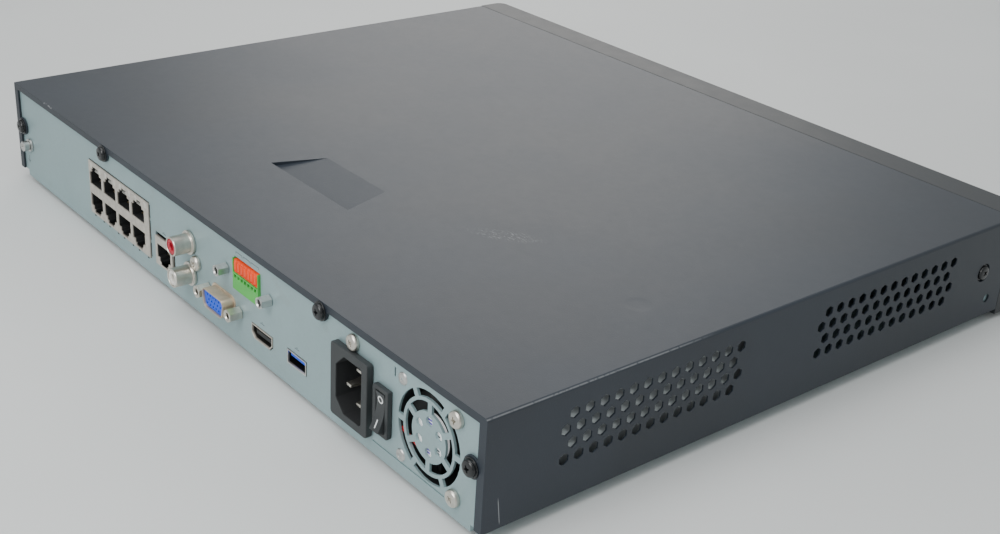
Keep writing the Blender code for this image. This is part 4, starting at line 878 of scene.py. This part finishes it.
@dataclass
class AudioJacks:
    """Two sound jacks: a flanged nickel barrel round a coloured insulator."""

    inner: float = 3.45 * MM
    outer: float = 4.15 * MM
    flange: float = 5.2 * MM
    bore: float = 1.6 * MM
    bore_depth: float = 6.5 * MM

    def build(self) -> None:
        """Makes both jacks."""
        for word, tone in (("upper", Tone.RED), ("lower", Tone.CREAM)):
            barrel, core = f"audio_barrel_{word}", f"audio_core_{word}"
            at, reach = panel_seat(barrel), reach_of(barrel)
            add(barrel + "_shell", self._barrel(reach), NICKEL, barrel, at=at, smooth=25)
            add(core + "_moulding", self._core(reach), Moulding(tone, 0.34), core, at=at, smooth=25)

    def _barrel(self, reach: float) -> Shape:
        """The smooth nickel barrel, with a rolled mouth and a flange at its foot."""
        a, b, c = self.inner, self.outer, self.flange
        profile = [(a, reach - 0.2 * MM), (a + 0.15 * MM, reach), (b - 0.2 * MM, reach), (b, reach - 0.25 * MM)]
        profile += [(b, 1.6 * MM), (b + 0.2 * MM, 1.35 * MM), (c - 0.1 * MM, 1.3 * MM), (c, 1.2 * MM)]
        profile += [(c, 0.3 * MM), (a, 0.3 * MM), profile[0]]
        return turned(profile, 56)

    def _core(self, reach: float) -> Shape:
        """The coloured insulator, nearly flush with the mouth, with its contact's bore."""
        top, core, bore = reach - 0.3 * MM, self.inner - 0.06 * MM, self.bore
        profile = [(0, top - self.bore_depth), (bore, top - self.bore_depth), (bore, top - 0.4 * MM)]
        profile += [(bore + 0.3 * MM, top), (core - 0.2 * MM, top), (core, top - 0.2 * MM)]
        return turned([*profile, (core, -2 * MM), (0, -2 * MM)], 56)


@dataclass
class MonitorSocket:
    """The D-shaped socket, with fifteen pin holes in three rows."""

    half: Point = (8.45 * MM, 4.2 * MM)
    slope: float = 10.0
    corner: float = 2.3 * MM
    wall: float = 0.5 * MM
    columns: int = 5
    pin_pitch: float = 2.29 * MM
    row_pitch: float = 1.98 * MM
    pin: float = 0.52 * MM

    def outline(self, grow: float) -> list[Point]:
        """The shell's outline: wide side up, ends leaning in, round corners."""
        half, tall = self.half[0] + grow, self.half[1] + grow
        lean = 2 * tall * tan(radians(self.slope))
        r = max(self.corner + grow * 0.6, 0.5 * MM)
        right = arc((half - r, tall - r), r, 90, -self.slope, 7)
        right += arc((half - lean - r * 0.75, -tall + r), r, -self.slope, -90, 7)
        return right + [(-x, y) for x, y in reversed(right)]

    def build(self) -> None:
        """Makes the shell and the insert."""
        shell_top, insert_top = reach_of("vga_shell"), reach_of("vga_insert")
        at, wall = panel_seat("vga_shell"), self.outline(-self.wall)
        shell = carved(plate(self.outline(0), -2 * MM, shell_top), plate(wall, -5 * MM, shell_top + 1 * MM))
        lip = carved(plate(self.outline(0.9 * MM), -0.9 * MM, 0.35 * MM), plate(wall, -5 * MM, 5 * MM))
        metal = [bevelled(shell, 0.14 * MM, 2, 40), bevelled(lip, 0.12 * MM, 2, 40)]
        add("vga_shell_drawn", metal, TAN_SHELL, "vga_shell", at=at)
        face = bevelled(plate(self.outline(-self.wall - 0.25 * MM), -1.5 * MM, insert_top), 0.15 * MM, 2, 40)
        holes = []
        for row, shift in enumerate((-0.25, 0.25, -0.25)):
            for column in range(self.columns):
                x = (column - self.columns // 2 + shift) * self.pin_pitch
                hole = bar(self.pin, insert_top - 3 * MM, insert_top + 1 * MM, 12)
                holes.append(moved(hole, Matrix.Translation((x, (1 - row) * self.row_pitch, 0))))
        add("vga_insert_face", carved(face, together(holes)), Moulding(Tone.BLUE, 0.38), "vga_insert", at=at)


@dataclass
class AlarmTerminals:
    """The green terminal block and its seven orange levers."""

    levers: int = 7
    lever_depth: float = 5.6 * MM

    def build(self) -> None:
        """Makes the levers and rounds the block."""
        refined("terminal_body", 0.14 * MM, Moulding(Tone.GREEN, 0.4))
        for number in range(1, self.levers + 1):
            node = f"terminal_lever_{number}"
            wide, tall = across(node)
            body = strip(0, wide / 2, about(0, tall / 2), (-self.lever_depth, -0.3 * MM), 0.16 * MM)
            finger = strip(0, wide * 0.36, (-tall * 0.30, tall * 0.34), (-0.6 * MM, 0.0), 0.12 * MM)
            slot = strip(0, wide * 0.34, (-tall * 0.42, -tall * 0.34), (-0.75 * MM, 1 * MM))
            cap, plastic = [carved(body, slot), finger], Moulding(Tone.ORANGE, 0.36)
            add(node + "_cap", cap, plastic, node, at=tip_seat(node), body=f"lever_{number}")
        self._clamps()

    def _clamps(self) -> None:
        """The metal cage that shows at the back of each wire entry."""
        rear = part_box("terminal_body")[1].y
        first, last = (middle(f"terminal_lever_{number}").x for number in (1, self.levers))
        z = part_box("terminal_lever_1")[0].z - 1.6 * MM
        cages = []
        for number in range(self.levers):
            x = first + (last - first) * number / (self.levers - 1)
            cages.append(strip(x, 0.7 * MM, (rear - 4.9 * MM, rear - 4.4 * MM), about(z, 0.6 * MM, 0.1 * MM)))
        add("terminal_clamps", cages, TIN)


@dataclass
class DataSockets:
    """The digital video socket and the two data sockets."""

    plating: float = 0.12 * MM
    proud: float = 0.05 * MM

    def build(self) -> None:
        """Rounds the shells and lays contacts on the tongues."""
        for name, metal, plastic in (
            ("hdmi", TIN, Moulding(Tone.BLACK, 0.4)),
            ("usb", SOCKET_NICKEL, Moulding(Tone.BLUE, 0.38)),
        ):
            refined(name + "_shell", 0.12 * MM, metal)
            refined(name + "_tongue", 0.15 * MM, plastic)
        refined("front_usb_shell", 0.12 * MM, NICKEL)
        self._contacts("usb", 4, 1.1 * MM, 1)
        self._contacts("hdmi", 9, 0.45 * MM, -1)
        self._front_tongue()

    def _contacts(self, name: str, count: int, wide: float, way: int) -> None:
        """Flat contacts under a tongue, or over it.

        Args:
            name: The socket.
            count: How many.
            wide: Each one's width.
            way: 1 for under it, -1 for over it.
        """
        low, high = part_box(name + "_tongue")
        edge = low.z if way > 0 else high.z
        z = tuple(sorted((edge - way * self.plating, edge + way * self.proud)))
        y = (low.y + 0.5 * MM, high.y - 0.4 * MM)
        made = [strip(low.x + (i + 0.5) * (high.x - low.x) / count, wide / 2, y, z) for i in range(count)]
        add(name + "_contacts", made, GOLD, smooth=35)

    def _front_tongue(self) -> None:
        """The white tongue in the front data socket."""
        low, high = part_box("front_usb_shell")
        centre = (low + high) / 2
        y, z = (low.y + 1.2 * MM, high.y - 1.6 * MM), (centre.z + 0.3 * MM, centre.z + 2.1 * MM)
        add("front_usb_tongue", strip(centre.x, 5.4 * MM, y, z, 0.15 * MM), Moulding(Tone.CREAM, 0.4), smooth=35)


@dataclass
class MainsFittings:
    """The mains inlet and the rocker switch."""

    mark: float = 0.05 * MM
    rim: float = 2.2 * MM
    blade_length: float = 14 * MM
    rocker: Triple = (7.7 * MM, 2.3 * MM, 1.5 * MM)
    tilt: float = 10.0

    def build(self) -> None:
        """Rounds the mouldings, tapers the blades, and marks the rocker."""
        case = Moulding(Tone.SLATE, 0.46)
        self._paint_recess_shade(refined("inlet_body", 0.35 * MM, case, 3))
        for word in ("earth", "line", "neutral"):
            self._blade(f"inlet_blade_{word}")
        refined("switch_case", 0.28 * MM, case, 3)
        self._rocker()

    def _paint_recess_shade(self, body: Piece) -> None:
        """Paints shade into the inlet's recess as a dull black, so that it reads as deep as it is."""
        low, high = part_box("inlet_body")
        rim = self.rim
        # Painted shade: the faces inside the recess get a second, near-black moulding.
        body.data.materials.append(coated(Moulding(Tone.BLACK, 0.7)))
        for face in body.data.polygons:
            at = face.center
            inside = low.x + rim < at.x < high.x - rim and low.z + rim < at.z < high.z - rim
            if inside and at.y < high.y - 0.3 * MM:
                face.material_index = 1

    def _blade(self, node: str) -> None:
        """A flat pin with a pointed end."""
        wide, tall = across(node)
        pin = strip(0, wide / 2, about(0, tall / 2), (-self.blade_length, 0))
        for vert in pin.verts:
            if vert.co.z > -1 * MM:
                vert.co.x *= 0.72
                vert.co.y *= 0.55
        add(node + "_pin", bevelled(pin, 0.18 * MM), NICKEL, node, at=tip_seat(node))

    def _rocker(self) -> None:
        """The rocker with a finely curved face, and its two marks."""
        piece = refined("power_rocker", 0.22 * MM, Moulding(Tone.SLATE, 0.36), 3, 28)
        piece.data.set_sharp_from_angle(angle=radians(40))
        joints = {joint["name"]: joint for joint in frame["record"]["behaviour"]["joints"]}
        tilt = Matrix.Rotation(radians(self.tilt), 4, "X")
        at = seat(*joints["power_switch"]["pos_m"]) @ tilt.inverted()
        inner, outer = 1.0 * MM, 1.5 * MM
        ring = turned([(inner, 0), (inner, self.mark), (outer, self.mark), (outer, 0), (inner, 0)], 32)
        stroke = strip(0, 0.28 * MM, about(0, 1.7 * MM), (0, self.mark))
        marks = []
        for shape, along in ((ring, 4.6 * MM), (stroke, -4.6 * MM)):
            place, lean = self._on_face(along)
            marks.append(moved(shape, Matrix.Translation(place) @ Matrix.Rotation(lean, 4, "X")))
        add("rocker_marks", marks, Moulding(Tone.WHITE, 0.5), at=at, body="rocker")

    def _on_face(self, along: float) -> tuple[Vector, float]:
        """A place on the rocker's face and the face's lean there.

        Args:
            along: The distance from the pivot, along the rocker.

        Returns:
            The place in the rocker's own axes, and the lean in radians.
        """
        radius, rise, sag = self.rocker
        tip = radius * cos(asin(rise / radius))
        height = rise - sag * (1 - (along / tip) ** 2)
        return Vector((0, along, height + 0.02 * MM)), atan(2 * sag * along / tip**2)


@dataclass
class Fan:
    """The fan behind the grille."""

    blades: int = 7
    hub: float = 9.0 * MM
    tip: float = 16.8 * MM
    pitch: float = 38.0
    twist: float = 8.0
    chord: float = 9.6 * MM
    bow: float = 1.3 * MM
    label: float = 0.85 * MM
    label_radius: float = 8.5 * MM
    fixing: float = 15.25 * MM
    prints: tuple = (
        ("violet", Tone.VIOLET, ((-2.5, 5.7, 2.6), (-2.3, 4.5, 2.2), (-2.9, -6.2, 2.3), (-2.7, -7.3, 2.0))),
        ("dark", Tone.INK, ((3.2, 1.8, 1.3), (3.0, -3.8, 1.5), (3.4, -4.9, 1.1))),
    )

    def build(self) -> None:
        """Makes the rotor with curved blades, its label and the lead."""
        refined("fan_frame", 0.2 * MM, Moulding(Tone.BLACK, 0.45))
        centre = middle("fan_frame")
        low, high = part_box("fan_rotor")
        at, half = seat(centre.x, (low.y + high.y) / 2, centre.z), (high.y - low.y) / 2
        profile = [(0, half), (self.hub - 1.0 * MM, half), (self.hub - 0.25 * MM, half - 0.3 * MM)]
        shapes = [turned([*profile, (self.hub, half - 1.0 * MM), (self.hub, -half), (0, -half)])]
        for number in range(self.blades):
            turn = Matrix.Rotation(2 * pi * number / self.blades, 4, "Z")
            shapes.append(moved(self._blade(half), turn))
        add("fan_rotor_moulding", shapes, Moulding(Tone.BLACK, 0.38), "fan_rotor", at=at, body="rotor")
        self._label(at, half)
        self._lead()
        self._rivets()

    def _label(self, at: Matrix, half: float) -> None:
        """The hub's white label with abstract bars printed on it; label and bars glow as painted light.

        Args:
            at: The rotor's middle.
            half: Half of the rotor's depth.
        """
        face, foot, edge = half + self.label, half - 0.1 * MM, self.label_radius
        label = turned([(0, face), (edge, face), (edge, foot), (0, foot)])
        add("fan_label", label, Moulding(Tone.WHITE, 0.5, glow=0.5), at=at, body="rotor")
        z = about(face, 0.02 * MM, 0.04 * MM)
        for name, tone, bars in self.prints:
            made = []
            for x, y, wide in bars:
                low, high = mm((x, y - 0.35), (x + wide, y + 0.35))
                made.append(slab((*low, z[0]), (*high, z[1])))
            add(f"fan_label_{name}", made, Moulding(tone, 0.5, glow=0.1), at=at, body="rotor")

    def _lead(self) -> None:
        """A stretch of the fan's red lead, between the grille and the frame, glowing a little as painted light."""
        centre = middle("fan_frame")
        at = seat(centre.x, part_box("fan_rotor")[1].y + 0.65 * MM, centre.z)
        start, end = (Vector((*point, 0)) for point in mm((-17.5, -6.0), (-7.5, -8.4)))
        run = end - start
        lean = Matrix.Translation(start) @ run.to_track_quat("Z", "Y").to_matrix().to_4x4()
        wires = []
        for shift in (0, 0.9 * MM):
            wires.append(moved(bar(0.32 * MM, 0, run.length, 12), Matrix.Translation((0, shift, 0)) @ lean))
        lead = bevelled(together(wires), 0.05 * MM, 1, 60)
        add("fan_lead", lead, Moulding(Tone.RED_WIRE, 0.4, glow=0.1), at=at, smooth=40)

    def _rivets(self) -> None:
        """Domed heads with a pierced middle on the grille's two rivets."""
        profile = mm((0, 0.25), (0.5, 0.25), (0.7, 0.75), (1.6, 0.68), (2.2, 0.42), (2.45, 0.0), (0, 0))
        heads = []
        for side in (-1, 1):
            heads.append(moved(turned(profile, 40), panel_seat("fan_frame", self.fixing, side * self.fixing)))
        add("rivet_heads", heads, STEEL_POST)

    def _blade(self, half: float) -> Shape:
        """One blade: a thin sheet that twists and bows from hub to tip.

        Args:
            half: Half of the rotor's depth.

        Returns:
            The blade.
        """
        sheet = bmesh.new()
        bmesh.ops.create_grid(sheet, x_segments=6, y_segments=8, size=0.5)
        root = self.hub - 0.5 * MM
        for vert in sheet.verts:
            share, along = vert.co.x + 0.5, vert.co.y
            out = root + share * (self.tip - root)
            lean = radians(self.pitch - self.twist * share)
            chord, bow = self.chord * along, self.bow * (0.25 - along * along)
            sweep = (chord * cos(lean) - bow * sin(lean)) / out
            z = chord * sin(lean) + bow * cos(lean)
            vert.co = (out * cos(sweep), out * sin(sweep), max(-half, min(half, z)))
        bmesh.ops.solidify(sheet, geom=sheet.faces[:], thickness=0.7 * MM)
        bmesh.ops.recalc_face_normals(sheet, faces=sheet.faces)
        return sheet


# Case


@dataclass
class Case:
    """The folded sheets, the bezel, the feet and the printed marks."""

    ink: float = 0.03 * MM
    foot_rim: float = 2.2 * MM
    lamps: int = 4

    def build(self) -> None:
        """Dresses the case."""
        refined("top_cover", 0.4 * MM, CoverCoat(), 3, 50, 2.0)
        refined("base_chassis", 0.14 * MM, ZincSheet(), 2, 50)
        refined("front_bezel", 0.5 * MM, Moulding(Tone.CHARCOAL, 0.42, 0.4 * MM, 0.03 * MM), 3, 60)
        refined("indicator_window", 0.25 * MM, WINDOW)
        self._feet()
        self._signals()
        self._print()
        self._insides()

    def _feet(self) -> None:
        """Four turned rubber feet with a hollow underneath."""
        rim = self.foot_rim
        for word in ("front_left", "front_right", "rear_left", "rear_right"):
            node = f"foot_{word}"
            centre, r = middle(node), across(node)[0] / 2
            profile = [(0, rim), (r - 0.3 * MM, rim), (r, rim - 0.3 * MM), (r - 0.6 * MM, 0.3 * MM)]
            profile += [(r - 0.9 * MM, 0), (r - 2.6 * MM, 0), (r - 3.0 * MM, 0.5 * MM), (0, 0.5 * MM)]
            add(node + "_rubber", turned(profile), RUBBER, node, at=Matrix.Translation((centre.x, centre.y, 0)))

    def _signals(self) -> None:
        """Lamps behind the front window."""
        low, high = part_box("indicator_window")
        z = (low.z + high.z) / 2
        lamps = []
        for number in range(self.lamps):
            x = low.x + (number + 0.5) * (high.x - low.x) / self.lamps
            lamp = turned(mm((0, 0.07), (0.8, 0.07), (0.9, 0), (0, 0)), 20)
            lamps.append(moved(lamp, seat(x, low.y, z, FRONT_TURN)))
        add("signal_lamps", lamps, Moulding(Tone.GREEN, 0.3))

    def _print(self) -> None:
        """Generic marks on the jack panel: an earth sign, brackets, and a dash and dot over three sockets."""
        strokes = []
        earth = panel_seat("ground_screw", 3.4 * MM, -8.6 * MM)
        for wide, low, high in ((0.15, -0.2, 2.0), (1.5, -0.5, -0.2), (1.0, -1.1, -0.8), (0.5, -1.7, -1.4)):
            strokes.append((earth, -wide, low, wide, high))
        over = seat(middle("terminal_body").x, PANEL_Y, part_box("terminal_body")[1].z + 1.6 * MM)
        for start, end in ((-8.8, -4.0), (-3.2, 1.8), (2.6, 8.8)):
            strokes += [(over, start, 0.7, end, 0.95), (over, start, 0.0, start + 0.25, 0.95)]
            strokes.append((over, end - 0.25, 0.0, end, 0.95))
        for node, lift in (("hdmi_shell", 5.6), ("usb_shell", 5.4), ("network_jack_shield", 9.6)):
            mark = panel_seat(node, 0.0, lift * MM)
            strokes += [(mark, -1.6, -0.15, 1.6, 0.15), (mark, -0.4, 0.5, 0.4, 0.8)]
        ink = []
        for at, left, bottom, right, top in strokes:
            low, high = mm((left, bottom), (right, top))
            ink.append(moved(slab((*low, 0), (*high, self.ink)), at))
        add("panel_ink", ink, Moulding(Tone.INK, 0.6))

    def _insides(self) -> None:
        """Finishes for what shows through the side holes."""
        looks = {"supply_case": SUPPLY_ZINC, "supply_board": Laminate(), "main_board": Laminate()}
        for node, finish in {**looks, "heat_sink": CAST, "hard_drive": CAST}.items():
            for entry in frame["nodes"][node].material_slots:
                entry.material = coated(finish)


# Studio


@dataclass
class Studio:
    """Camera, lights and floor."""

    at: Triple = (-0.4725, 0.3947, 0.2849)
    aim: Triple = (-0.0627, 0.0431, 0.0233)
    roll: float = 3.65
    lens: float = 51.2
    sensor: float = 36.0
    air: Colour = (0.93, 0.97, 0.98)
    air_strength: float = 0.60
    warm: Colour = (1.0, 0.97, 0.94)

    def build(self) -> None:
        """Sets up the shot."""
        self._camera()
        shape = bmesh.new()
        bmesh.ops.create_grid(shape, x_segments=2, y_segments=2, size=6)
        as_piece("floor", shape, BACKDROP)
        self._light("far_softbox", (1.56, -1.36, 0.80), (0, 0, 0.04), (1.2, 0.75), 10.5, self.warm)
        self._light("overhead", (0.1, 0.35, 1.6), (0, 0.05, 0), (1.6, 1.2), 15.0)
        self._light("near_softbox", (-0.20, 0.60, 0.50), (-0.14, 0.15, 0.02), (0.35, 0.3), 2.0)
        self._light("rear_softbox", (-0.75, 1.6, 1.0), (-0.05, 0.15, 0), (1.2, 0.9), 7.0)
        world = bpy.data.worlds.new("pale_room")
        bpy.context.scene.world = world
        world.use_nodes = True
        air = world.node_tree.nodes["Background"].inputs
        air["Color"].default_value = (*self.air, 1)
        air["Strength"].default_value = self.air_strength

    def _camera(self) -> None:
        """The camera, behind the recorder's right end and above it."""
        data = bpy.data.cameras.new("camera")
        data.lens = self.lens
        data.sensor_width = self.sensor
        data.clip_start = 0.01
        camera = bpy.data.objects.new("camera", data)
        place = Vector(self.at)
        look = (Vector(self.aim) - place).to_track_quat("-Z", "Y").to_matrix().to_4x4()
        turn = Matrix.Rotation(radians(self.roll), 4, "Z")
        camera.matrix_world = Matrix.Translation(place) @ look @ turn
        bpy.context.scene.collection.objects.link(camera)
        bpy.context.scene.camera = camera

    def _light(self, name: str, at: tuple, aim: tuple, wide: Point, power: float, tint: Colour = (1, 1, 1)) -> None:
        """One rectangular softbox.

        Args:
            name: Its name.
            at: Where it stands.
            aim: What it faces.
            wide: Its width and height.
            power: Its power in watts.
            tint: Its colour.
        """
        data = bpy.data.lights.new(name, "AREA")
        data.shape = "RECTANGLE"
        data.size, data.size_y = wide
        data.energy = power
        data.color = tint
        lamp = bpy.data.objects.new(name, data)
        lamp.location = at
        lamp.rotation_euler = (Vector(aim) - Vector(at)).to_track_quat("-Z", "Y").to_euler()
        bpy.context.scene.collection.objects.link(lamp)


def main() -> None:
    """Builds the recorder's looks, piece by piece."""
    logging.basicConfig(level=logging.INFO, format="%(message)s")
    case = (Case, Screws, NetworkJacks, AudioJacks, MonitorSocket, AlarmTerminals, DataSockets, MainsFittings, Fan)
    for assembly in (Studio, *case):
        assembly().build()
        LOG.info("built %s", assembly.__name__)


if __name__ == "__main__":
    main()
